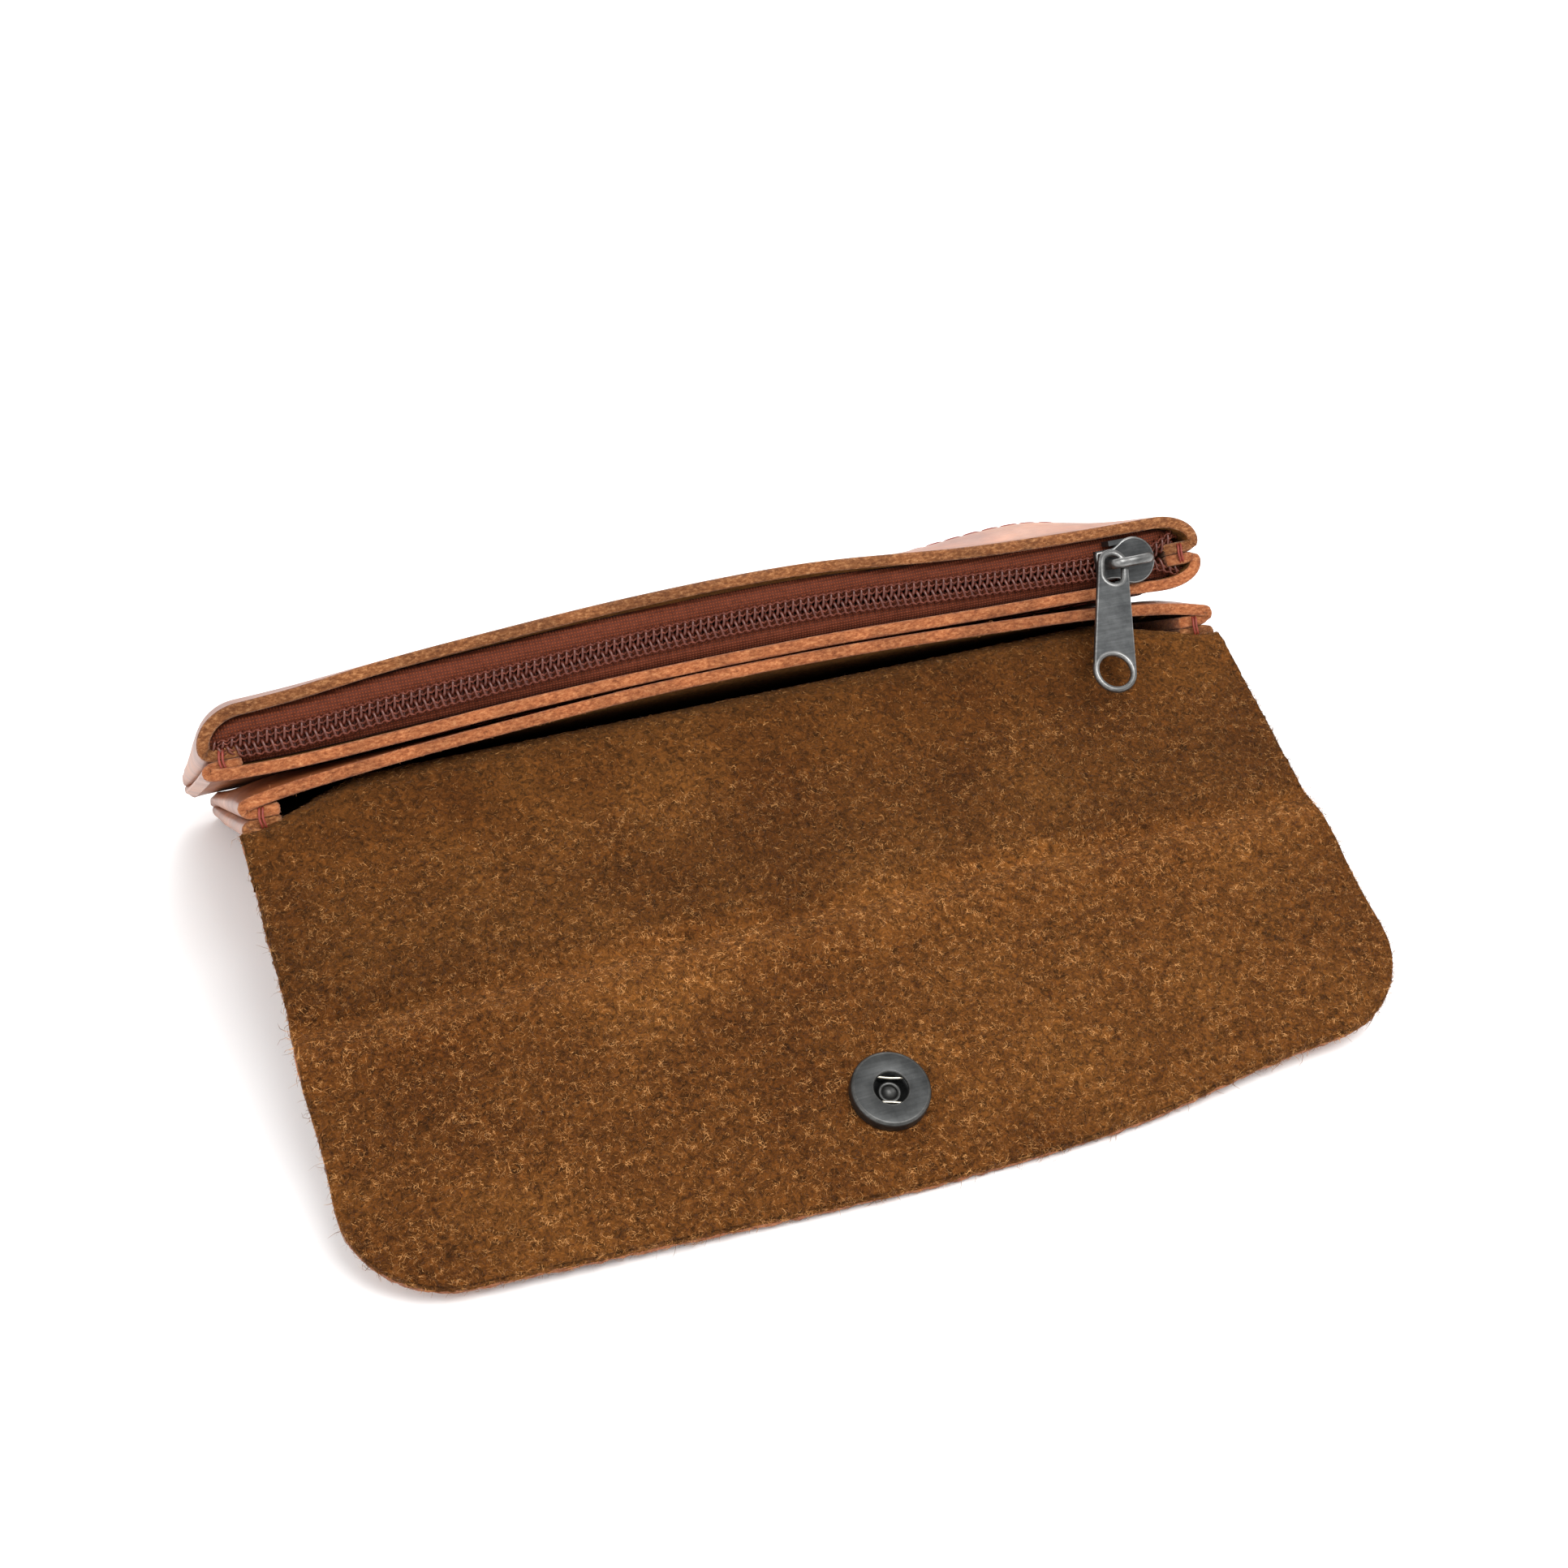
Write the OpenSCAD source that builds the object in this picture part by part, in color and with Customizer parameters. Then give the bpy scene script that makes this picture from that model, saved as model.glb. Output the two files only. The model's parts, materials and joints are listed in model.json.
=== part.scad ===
// Wristlet wallet: a leather clutch with an open main pocket, a zip pouch in front of it and a long flap
// with a snap button. It stands open like a low tent: flap towards -Y, pouches towards +Y, +Z up.

/* [Leather] */
// Width of the pouches and the flap
body_w = 190; // [150:1:220]
// Depth of the pouches, from the mouth to the bottom seam
body_d = 87; // [75:1:110]
// Thickness of the hide
hide_t = 2.2; // [1.8:0.1:2.4]
// Slope of the pouches behind the fold
body_slope = 27.5; // [22:0.5:32]

/* [Pouches] */
// Free height of the main pocket at the mouth
pocket_gap = 7.3; // [5.5:0.1:9]
// Width of the zip opening between the two leather lips
zip_gap = 9.6; // [9.6:0.1:11]
// Free height left inside each pouch at its bottom
bottom_gap = 0.6; // [0.4:0.1:1.5]
// Air between the main pocket and the zip pouch
pouch_air = 0.4; // [0.3:0.1:1]
// Width of the seam allowance folded inside each side
allowance = 5; // [4:0.5:7]

/* [Flap] */
// Length of the flap from the fold to its tip at the two sides
flap_side = 87; // [82:0.5:100]
// How much longer the flap is in the middle
flap_bow = 6; // [2:0.5:8]
// Radius of the flap's corners
flap_corner = 19; // [10:1:24]
// Length of each of the two bending strips next to the fold
strip_l = 20; // [18:0.5:22]

/* [Snap button] */
// Distance of the snap from the fold, along the flap
snap_reach = 75.4; // [70:0.1:80]
// Sideways place of the snap
snap_x = -4; // [-6:0.5:6]
// Outer diameter of the socket
socket_d = 13.6; // [12:0.1:15]
// Height of the socket above the suede
socket_h = 3.2; // [3:0.1:3.6]
// Distance of the stud from the mouth edge, along the front panel
stud_reach = 29.6; // [28:0.1:40]

/* [Zip] */
// Sideways place of the slider's centre
slider_x = 77.5; // [0:0.5:78]
// Pitch of the coil
coil_pitch = 1.5; // [1.2:0.1:1.8]
// Length of the pull tab from the bridge to its end
tab_reach = 26.4; // [22:0.1:27]
// How far the hanging pull tab leans out from the mouth
tab_lean = 20; // [18:1:28]
// How far the pull tab hangs sideways from square, in degrees
tab_hang = 19; // [0:1:20]

/* [Hidden] */
$fn = 48;

half_t = hide_t / 2;
half_w = body_w / 2;
eps = 0.02;
root = [0.2, 0.2];                       // how far a turned-in edge reaches into the panel it grows from
knuckle_gap = 1.3;                       // a strip's flat end stops this far from its bend line
floor_cut = 0.4;                         // how much the lowest edges are flattened where they stand

// Stack at the mouth (index 0) and at the bottom seam (index 1), measured from the middle of the back
back_face = [half_t, half_t];
panel_in = back_face + [pocket_gap, bottom_gap];
panel_out = panel_in + [hide_t, hide_t];
zip_back_in = panel_out + [pouch_air, pouch_air];
zip_back_out = zip_back_in + [hide_t, hide_t];
zip_front_in = zip_back_out + [zip_gap, bottom_gap];
zip_front_out = zip_front_in + [hide_t, hide_t];
zip_mid = (zip_back_out[0] + zip_front_in[0]) / 2;
lip_flat = 7;                            // the mouth keeps its full height over this depth
front_slope = atan((zip_front_out[0] - zip_front_out[1]) / (body_d - lip_flat));

// The fold line's height, so that the pouches' lowest edge stands on the floor, and the flap's slope
flap_l = flap_side + flap_bow;
fold_z = body_d * sin(body_slope) + half_t * cos(body_slope) - floor_cut;
flap_slope = asin((fold_z + floor_cut - 0.9 * half_t) / flap_l);
far_y = body_d * cos(body_slope) + zip_front_out[1] * sin(body_slope);
near_y = flap_l * cos(flap_slope) + half_t * sin(flap_slope);
fold_y = (near_y - far_y) / 2;           // puts the origin under the middle of the whole

wall_t = hide_t;
panel_back = 0.8;                        // the main pocket's lip lies this far behind the zip pouch's
main_seam_start = 4;                     // depth at which each side seam begins
zip_seam_start = 14;
thread_r = 0.35;
fine_thread_r = 0.12;
stitch_l = 3;
stitch_pitch = 4;
mouth_inset = 3;                         // the zip tape lies this far behind the lips' edges
tape_t = 0.6;
tape_leg = 9;                            // width of tape sewn against each lip
chain_half = 3.2;                        // half width of the closed chain
chain_slot = 0.7;                        // half width of the channel the slider's diamond runs in
coil_t = 2.4;
zip_half = half_w - wall_t - 0.4;

head_r = 4.4;                            // the slider's round end
head_shift = 1.6;
nose_half = 2.9;                         // half width of its narrow end
nose_l = 6;
flange_half = 3;                         // half length of its side flanges
plate_t = 1.1;
diamond = [2.6, 1.0];                    // length and width of the wedge that parts the chain
slider_play = 0.25;
plate_top = -0.85;                       // depth of the slider's outer face, behind the mouth if positive
bridge_out = -5.5;
bridge_w = 1.3;
bridge_x = slider_x - 4.2;               // the leg that carries the pull tab
tab_u = -3.6;                            // how far the pull tab's turning point stands out
tab_axis = [-0.126, 0.937, -0.324];         // what the pull tab turns about, in the pouches' directions
tab_t = 1.1;
tab_neck_r = 3;
tab_eye_r = 1.75;
tab_eye_l = 2.3;                         // how much longer than round the tab's eye is
tab_end_r = 4.2;
tab_hole_r = 3.2;

cap_r = 7.5;
stud_r = 2.45;
socket_hole_r = 2.95;
post_r = 1.6;
post_play = 0.05;

cognac = "#a8602c";
suede = "#8a5526";
thread_red = "#7a2f1c";
tape_brown = "#6e2c18";
gunmetal = "#4a4c4c";

// Frames: pouch frame has x right, y into the depth, z from the back towards the front
module on_pouch() translate([0, fold_y, fold_z]) rotate([-body_slope, 0, 0]) children();
module on_flap() translate([0, fold_y, fold_z]) rotate([flap_slope, 0, 0]) children();

// Extrudes a (depth, height) outline sideways from x0 to x1
module across(x0, x1, outline) {
    translate([x0, 0, 0]) rotate([90, 0, 90]) linear_extrude(x1 - x0) polygon(outline);
}

// A layer's height at a depth: level near the mouth, then sloping to its height at the bottom seam
function at(h, d) = h[0] + (h[1] - h[0]) * max(0, d - lip_flat) / (body_d - lip_flat);

// The outline between two layers' heights over the depths d0..d1
function wedge(low, high, d0, d1) = concat(
    [[d0, at(low, d0)]],
    d0 < lip_flat && lip_flat < d1 ? [[lip_flat, low[0]]] : [],
    [[d1, at(low, d1)], [d1, at(high, d1)]],
    d0 < lip_flat && lip_flat < d1 ? [[lip_flat, high[0]]] : [],
    [[d0, at(high, d0)]]
);

// Keeps everything above the floor
module on_floor() {
    intersection() {
        children();
        translate([-200, -200, 0]) cube([400, 400, 200]);
    }
}

module both_sides() {
    children();
    mirror([1, 0, 0]) children();
}

// The seam allowance turned in from a back layer's side, up to the middle of the pouch
module back_allowance(low, high, start) {
    both_sides() across(half_w - wall_t - allowance, half_w - wall_t,
        wedge(low - root, (low + high) / 2, start, body_d - wall_t));
}

// A front layer's turned edge: the side walls, the bottom wall and the allowance folded in from each side
module turned_edge(low, high, mouth, start) {
    both_sides() {
        across(half_w - wall_t, half_w, wedge(low, high + root, mouth, body_d));
        across(half_w - wall_t - allowance, half_w - wall_t + root[0],
            wedge((low + high) / 2, high + root, start, body_d - wall_t + root[0]));
    }
    across(-half_w + wall_t - root[0], half_w - wall_t + root[0],
        wedge(low, high + root, body_d - wall_t, body_d));
}

module back_panel() {
    color(cognac) on_floor() on_pouch() {
        across(-half_w, half_w, [
            [knuckle_gap, -half_t], [body_d, -half_t], [body_d, half_t], [knuckle_gap, half_t]
        ]);
        back_allowance(back_face, panel_in, main_seam_start);
    }
}

module main_front_panel() {
    color(cognac) on_pouch() {
        across(-half_w, half_w, wedge(panel_in, panel_out, panel_back, body_d));
        turned_edge(back_face, panel_in, panel_back, main_seam_start);
    }
}

module zip_back_panel() {
    color(cognac) on_pouch() {
        across(-half_w, half_w, wedge(zip_back_in, zip_back_out, 0, body_d));
        back_allowance(zip_back_out, zip_front_in, zip_seam_start);
    }
}

module zip_front_panel() {
    color(cognac) on_pouch() difference() {
        union() {
            across(-half_w, half_w, wedge(zip_front_in, zip_front_out, 0, body_d));
            turned_edge(zip_back_out, zip_front_in, 0, zip_seam_start);
        }
        at_stud() cylinder(h = 10, r = post_r + post_play, center = true);
    }
}

// Points on an arc round a centre
function arc(centre, r, a0, a1, n) = [
    for (i = [0 : n]) let (a = a0 + (a1 - a0) * i / n) centre + r * [cos(a), sin(a)]
];

// The front leaf's outline: straight sides, a slightly bowed end, and corners that run into both
module flap_outline() {
    bow_r = (half_w * half_w + flap_bow * flap_bow) / (2 * flap_bow);
    bow_y = bow_r - flap_l;
    corner_x = half_w - flap_corner;
    corner_y = bow_y - sqrt(pow(bow_r - flap_corner, 2) - corner_x * corner_x);
    turn = atan2(corner_y - bow_y, corner_x);      // direction in which corner and bow meet
    polygon(concat(
        [[half_w, -2 * strip_l]],
        arc([corner_x, corner_y], flap_corner, 0, turn, 12),
        arc([0, bow_y], bow_r, turn - 0.5, -179.5 - turn, 24),
        arc([-corner_x, corner_y], flap_corner, -180 - turn, -180, 12),
        [[-half_w, -2 * strip_l]]
    ));
}

// A bending strip of the flap with a round end on the bend line nearer the fold
module strip(start, end) {
    translate([-half_w, -end, -half_t]) cube([body_w, end - start, hide_t]);
    translate([-half_w, -start, 0]) rotate([0, 90, 0]) cylinder(h = body_w, r = half_t);
}

module flap_root() {
    color(suede) on_flap() strip(0, strip_l - knuckle_gap);
}

module flap_middle() {
    color(suede) on_flap() strip(strip_l, 2 * strip_l - knuckle_gap);
}

module flap_front() {
    color(suede) on_floor() on_flap() difference() {
        union() {
            linear_extrude(hide_t, center = true) flap_outline();
            translate([-half_w, -2 * strip_l, 0]) rotate([0, 90, 0]) cylinder(h = body_w, r = half_t);
        }
        at_snap() cylinder(h = 10, r = post_r + post_play, center = true);
    }
}

// A row of stitches along the depth, pressed between the two allowances they hold together
module depth_row(low, high, start) {
    turn = atan((at(low, body_d) + at(high, body_d) - low[0] - high[0]) / 2 / (body_d - lip_flat));
    both_sides() for (d = [start : stitch_pitch : body_d - 8])
        translate([half_w - wall_t - 1.2, d, (at(low, d) + at(high, d)) / 2])
            rotate([-90 + turn, 0, 0]) cylinder(h = stitch_l, r = thread_r, $fn = 16);
}

module main_seam_thread() {
    color(thread_red) on_pouch() depth_row(back_face, panel_in, main_seam_start + 4);
}

module zip_seam_thread() {
    color(thread_red) on_pouch() depth_row(zip_back_out, zip_front_in, zip_seam_start + 2);
}

// Rows along the width, on the outside of both lips
module width_row(depth, height) {
    for (x = [-half_w + 9 : stitch_pitch : half_w - 12])
        translate([x, depth, height]) rotate([0, 90, 0]) cylinder(h = stitch_l, r = thread_r, $fn = 16);
}

module zip_tape_thread() {
    depth = mouth_inset + tape_leg - 1.5;
    color(thread_red) on_pouch() {
        width_row(depth, at(zip_front_out, depth) + thread_r + eps);
        width_row(depth, at(zip_back_out, depth) + tape_t + thread_r + 3 * eps);
    }
}

// The row that joins the zip pouch to the main pocket, between the two
module joining_thread() {
    depth = body_d - 10;
    height = (at(panel_out, depth) + at(zip_back_in, depth)) / 2;
    color(thread_red) on_pouch() for (x = [-half_w + 30 : stitch_pitch : half_w - 33])
        translate([x, depth, height]) rotate([0, 90, 0]) cylinder(h = stitch_l, r = fine_thread_r, $fn = 16);
}

// One zip tape: a web facing the mouth and a leg sewn against the lip; side +1 is the front lip
module zip_tape(side) {
    face = side > 0 ? zip_front_in : zip_back_out;
    near = face - side * [eps, eps] / 2;
    far = near - side * [tape_t, tape_t];
    edge = zip_mid + side;
    back = mouth_inset + tape_t;
    color(tape_brown) on_pouch() {
        across(-zip_half, zip_half, wedge(near, far, mouth_inset, mouth_inset + tape_leg));
        across(-zip_half, zip_half, [
            [mouth_inset, near[0]], [mouth_inset, edge], [back, edge], [back, near[0]]
        ]);
    }
}

module zip_tape_upper() zip_tape(1);
module zip_tape_lower() zip_tape(-1);

// One coil: a spine with a row of teeth pointing at the other coil
module zip_coil(side, phase) {
    tooth_w = 0.8;
    count = floor((2 * zip_half - 2) / coil_pitch);
    start = -count * coil_pitch / 2 + phase;
    spine = zip_mid + side * (chain_half - 0.8);
    tip = zip_mid + side * chain_slot;
    back = zip_mid + side * chain_half;
    outline = concat(
        [[start, back], [start, spine]],
        [for (i = [0 : count - 1]) each [
            [start + (i + 0.2) * coil_pitch, spine], [start + (i + 0.2) * coil_pitch, tip],
            [start + (i + 0.2) * coil_pitch + tooth_w, tip], [start + (i + 0.2) * coil_pitch + tooth_w, spine]
        ]],
        [[start + count * coil_pitch, spine], [start + count * coil_pitch, back]]
    );
    color(tape_brown) on_pouch() translate([0, mouth_inset - 0.01, 0]) rotate([90, 0, 0])
        linear_extrude(coil_t) polygon(outline);
}

module zip_coil_upper() zip_coil(1, 0);
module zip_coil_lower() zip_coil(-1, coil_pitch / 2);

// Slider plates are drawn flat in (x, height) and given a depth range
module plate(d0, d1) translate([0, d1, zip_mid]) rotate([90, 0, 0]) linear_extrude(d1 - d0) children();

module slider_outline(grow) {
    nose = nose_half + grow;
    head = head_r + grow;
    translate([slider_x + head_shift, 0]) circle(head);
    translate([slider_x - nose_l, -nose]) square([nose_l - 1, 2 * nose]);
    polygon([
        [slider_x - 1.2, nose], [slider_x - 1.2, -nose],
        [slider_x + head_shift, -head], [slider_x + head_shift, head]
    ]);
}

module slider_body() {
    inner = mouth_inset - coil_t - slider_play;
    tape_back = mouth_inset + tape_t + slider_play;
    color(gunmetal) on_pouch() difference() {
        union() {
            plate(plate_top, inner) slider_outline(0);
            plate(tape_back, tape_back + plate_t) slider_outline(-0.6);
            plate(plate_top, mouth_inset - 0.3) difference() {
                translate([slider_x - flange_half, -head_r]) square([2 * flange_half, 2 * head_r]);
                translate([slider_x - flange_half - 1, -chain_half - slider_play])
                    square([2 * flange_half + 2, 2 * (chain_half + slider_play)]);
            }
            plate(inner - eps, tape_back + eps)
                translate([slider_x + 2, -diamond[1] / 2]) square(diamond);
        }
        // hole for the lock spring's pin
        translate([slider_x - 0.3, 0, zip_mid]) rotate([90, 0, 0]) cylinder(h = 4, r = 0.55, center = true);
    }
}

module slider_bridge() {
    bar_t = 0.95;
    leg = 0.7;
    drop = 0.8;                              // how far the bar's heel slopes in
    bend_x = slider_x + 2;
    heel = slider_x + head_r;
    color(gunmetal) on_pouch() translate([0, 0, zip_mid - bridge_w / 2]) linear_extrude(bridge_w) polygon([
        [bridge_x - leg, bridge_out], [bend_x, bridge_out], [heel, bridge_out + drop], [heel, plate_top],
        [heel - 2 * leg, plate_top], [heel - 2 * leg, bridge_out + drop + bar_t],
        [bend_x, bridge_out + bar_t], [bridge_x + leg, bridge_out + bar_t],
        [bridge_x + leg, plate_top], [bridge_x - leg, plate_top]
    ]);
}

module slider_lock_spring() {
    pin_x = slider_x - 0.6;
    arm = bridge_out + 1.3;
    color("silver") on_pouch() translate([0, 0, zip_mid - 0.4]) linear_extrude(0.8) polygon([
        [pin_x, arm], [slider_x + 2.9, arm + 0.6], [slider_x + 2.9, arm + 0.9], [pin_x + 0.6, arm + 0.4],
        [pin_x + 0.6, 0.1], [pin_x, 0.1]
    ]);
}

// Pull tab: an oval eye round the bridge's leg and a round hole at its end, hanging down across the lips
module pull_tab() {
    end_y = tab_end_r - tab_reach;
    taper = asin((tab_end_r - tab_neck_r) / -end_y);
    side = 0.99 * [cos(taper), sin(taper)];      // where the straight sides run into both rounds
    top = tab_neck_r * side;
    bottom = tab_end_r * side + [0, end_y];
    color(gunmetal) on_pouch() translate([bridge_x, tab_u, zip_mid])
    rotate(a = tab_hang, v = tab_axis) rotate([90 - tab_lean, 0, 0]) difference() {
        union() {
            cylinder(h = tab_t, r = tab_neck_r, center = true);
            translate([0, end_y, 0]) cylinder(h = tab_t, r = tab_end_r, center = true);
            linear_extrude(tab_t, center = true)
                polygon([[-top[0], top[1]], top, bottom, [-bottom[0], bottom[1]]]);
        }
        cylinder(h = 2 * tab_t, r = tab_eye_r, center = true);
        translate([-tab_eye_r, -tab_eye_l, -tab_t]) cube([2 * tab_eye_r, tab_eye_l, 2 * tab_t]);
        translate([0, -tab_eye_l, 0]) cylinder(h = 2 * tab_t, r = tab_eye_r, center = true);
        translate([0, end_y, 0]) cylinder(h = 2 * tab_t, r = tab_hole_r, center = true);
    }
}

// Snap places: z points away from the leather's middle towards the suede (flap) or outwards (stud)
module at_snap() translate([snap_x, -snap_reach, 0]) children();
module at_stud() {
    translate([snap_x, lip_flat, zip_front_out[0]]) rotate([-front_slope, 0, 0])
        translate([0, stud_reach - lip_flat, 0]) children();
}

module snap_cap() {
    color(gunmetal) on_flap() at_snap() {
        translate([0, 0, -half_t - 0.9]) cylinder(h = 0.9, r1 = cap_r - 0.8, r2 = cap_r, $fn = 64);
        difference() {
            translate([0, 0, -half_t]) cylinder(h = hide_t + 0.7, r = post_r);
            cylinder(h = 10, r = 1.1);
        }
        difference() {
            translate([0, 0, half_t + 0.35]) cylinder(h = 0.35, r = 2.3);
            cylinder(h = 10, r = 1.1);
        }
    }
}

module snap_socket() {
    rim = socket_d / 2;
    floor_t = 0.3;
    lid_t = 0.6;
    room_r = 4.2;
    color(gunmetal) on_flap() at_snap() translate([0, 0, half_t]) rotate_extrude($fn = 96) polygon([
        [post_r + post_play, 0], [rim, 0], [rim, socket_h - 0.5], [rim - 0.5, socket_h],
        [socket_hole_r, socket_h], [socket_hole_r, socket_h - lid_t], [room_r, socket_h - lid_t],
        [room_r, floor_t], [post_r + post_play, floor_t]
    ]);
}

module socket_spring() {
    wire_l = 5;
    color("silver") on_flap() at_snap() for (side = [-1, 1])
        translate([-wire_l / 2, side * 2.9, half_t + socket_h - 1.1])
            rotate([0, 90, 0]) cylinder(h = wire_l, r = 0.3, $fn = 24);
}

module snap_stud() {
    color(gunmetal) on_pouch() at_stud() rotate_extrude($fn = 64) polygon([
        [post_r, 0.01], [5, 0.01], [5, 0.5], [4.6, 0.8], [stud_r - 0.4, 0.8], [stud_r - 0.4, 2],
        [stud_r, 2.4], [stud_r, 2.9], [stud_r - 0.4, 3.3], [post_r, 3.3]
    ]);
}

module stud_rivet() {
    color(gunmetal) on_pouch() at_stud() {
        translate([0, 0, -hide_t - 0.5]) cylinder(h = hide_t + 3.5, r = post_r - eps);
        translate([0, 0, -hide_t - 0.6]) cylinder(h = 0.55, r = 4.5);
    }
}

back_panel();
flap_root();
flap_middle();
flap_front();
main_front_panel();
zip_back_panel();
zip_front_panel();
main_seam_thread();
zip_seam_thread();
zip_tape_thread();
joining_thread();
zip_tape_upper();
zip_tape_lower();
zip_coil_upper();
zip_coil_lower();
slider_body();
slider_bridge();
slider_lock_spring();
pull_tab();
snap_cap();
snap_socket();
socket_spring();
snap_stud();
stud_rivet();
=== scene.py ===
"""Looks for the wristlet wallet: leather, suede nap, zip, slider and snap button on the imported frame."""
import json
import math

import bmesh
import bpy
import numpy as np
from mathutils import Matrix, Vector


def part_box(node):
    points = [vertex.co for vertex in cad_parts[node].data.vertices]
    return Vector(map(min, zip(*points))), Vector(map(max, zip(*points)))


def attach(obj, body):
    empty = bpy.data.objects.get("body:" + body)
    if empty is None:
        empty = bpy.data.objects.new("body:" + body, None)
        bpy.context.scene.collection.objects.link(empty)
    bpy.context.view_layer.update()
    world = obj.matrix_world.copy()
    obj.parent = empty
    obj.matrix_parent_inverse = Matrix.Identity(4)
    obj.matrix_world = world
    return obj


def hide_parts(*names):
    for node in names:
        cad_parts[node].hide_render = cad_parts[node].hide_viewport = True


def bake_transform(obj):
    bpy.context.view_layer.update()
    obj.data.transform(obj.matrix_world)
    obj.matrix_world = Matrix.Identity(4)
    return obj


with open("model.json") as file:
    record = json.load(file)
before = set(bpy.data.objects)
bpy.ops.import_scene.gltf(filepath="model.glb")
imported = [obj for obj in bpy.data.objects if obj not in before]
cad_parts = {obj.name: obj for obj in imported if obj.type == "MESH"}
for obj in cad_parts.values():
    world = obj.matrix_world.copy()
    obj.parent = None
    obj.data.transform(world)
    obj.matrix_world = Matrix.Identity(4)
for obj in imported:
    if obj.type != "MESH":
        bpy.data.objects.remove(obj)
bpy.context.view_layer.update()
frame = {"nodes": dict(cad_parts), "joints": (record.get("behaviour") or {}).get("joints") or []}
rng = np.random.default_rng(7)
MM = 0.001

# ------ frame and driving sizes (millimetres)
joints = {joint["name"]: joint for joint in frame["joints"]}
FOLD = np.array(joints["mouth_fold"]["pos_m"]) / MM
BEND = np.array(joints["middle_bend"]["pos_m"]) / MM
STRIP = float(np.linalg.norm(BEND - FOLD))  # distance between two bend lines of the flap
FLAP_DOWN = (BEND - FOLD) / STRIP
FLAP_UP = np.array([0.0, FLAP_DOWN[2], -FLAP_DOWN[1]])
BODY_SLOPE = math.radians(27.5)
POUCH_IN = np.array([0.0, math.cos(BODY_SLOPE), -math.sin(BODY_SLOPE)])
POUCH_UP = np.array([0.0, math.sin(BODY_SLOPE), math.cos(BODY_SLOPE)])
RIGHT = np.array([1.0, 0.0, 0.0])

HALF_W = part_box("flap_front")[1].x / MM  # half width of the flap
HIDE = 2.2  # thickness of the hide
DEPTH = 87.0  # depth of the pouches
FLAP_L = 93.0  # length of the flap along its middle
FLAP_BOW = 6.0  # how much shorter it is at the sides
CORNER = 19.0  # radius of the flap's corners
SLIDER_X = 77.5  # the slider's centre at rest
ZIP_MID = 18.0  # height of the slider's middle over the back
BRIDGE_X = SLIDER_X - 4.2  # the pull tab's turning point
TAB_OUT = -3.6  # depth of the pull tab's turning point
TAB_LEAN = math.radians(20)  # how far the pull tab leans from the mouth's plane
SNAP = (-4.0, 75.4)  # place of the snap on the flap: x, distance down
STUD_REACH = 29.6  # from the mouth to the stud, along the leather

# Heights over the back's middle along the mouth, at these sideways places
MOUTH_X = (-97, -84, -65, -45, -20, 12, 50, 72, 92)
ZIP_CENTRE = (16.4, 16.0, 17.4, 18.6, 20.1, 20.7, 18.8, 17.8, 17.6)
UPPER_LIP = (21.9, 22.7, 24.8, 26.3, 27.7, 28.0, 25.0, 24.3, 24.2)
LOWER_LIP = (11.7, 11.5, 12.3, 13.4, 14.2, 14.4, 13.4, 12.9, 11.6)
POCKET_LIP = (6.3, 7.3, 9.0, 10.3, 11.6, 11.8, 10.4, 9.0, 6.4)


def points(origin, axes, x, along, up):
    """Points from their distances along three axes."""
    x, along, up = np.broadcast_arrays(x, along, up)
    place = x[..., None] * axes[0] + along[..., None] * axes[1] + up[..., None] * axes[2]
    return origin + place


def pouch(x, depth, up):
    """Points in the pouches' frame: x, depth behind the mouth, height over the back."""
    return points(FOLD, (RIGHT, POUCH_IN, POUCH_UP), x, depth, up)


def flap(x, down, up):
    """Points in the flap's frame: x, distance down from the fold, height over its middle."""
    return points(FOLD, (RIGHT, FLAP_DOWN, FLAP_UP), x, down, up)


def curve_through(xs, ys, x):
    """A smooth curve through a few points."""
    xs, ys = np.array(xs, float), np.array(ys, float)
    slope = np.gradient(ys, xs)
    i = np.clip(np.searchsorted(xs, x) - 1, 0, len(xs) - 2)
    width = xs[i + 1] - xs[i]
    t = np.clip((x - xs[i]) / width, 0, 1)
    a, b = ys[i], ys[i + 1]
    return ((2 * t**3 - 3 * t**2 + 1) * a + (t**3 - 2 * t**2 + t) * width * slope[i]
            + (3 * t**2 - 2 * t**3) * b + (t**3 - t**2) * width * slope[i + 1])


def wobble(x, y, size, seed):
    """Smooth wandering between about -1 and 1, with features of about this size."""
    local = np.random.default_rng(seed)
    total = 0.0
    for _ in range(7):
        angle, phase = local.uniform(0, 2 * math.pi, 2)
        pitch = size * local.uniform(0.6, 1.6)
        total = total + np.sin((x * math.cos(angle) + y * math.sin(angle)) * 2 * math.pi / pitch + phase)
    return total / 3.5


def crowded(low, high, count, share=0.8):
    """Numbers from low to high, closer together near both ends."""
    t = np.linspace(0, 1, count)
    return low + (high - low) * ((1 - share) * t + share * (1 - np.cos(math.pi * t)) / 2)


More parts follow.
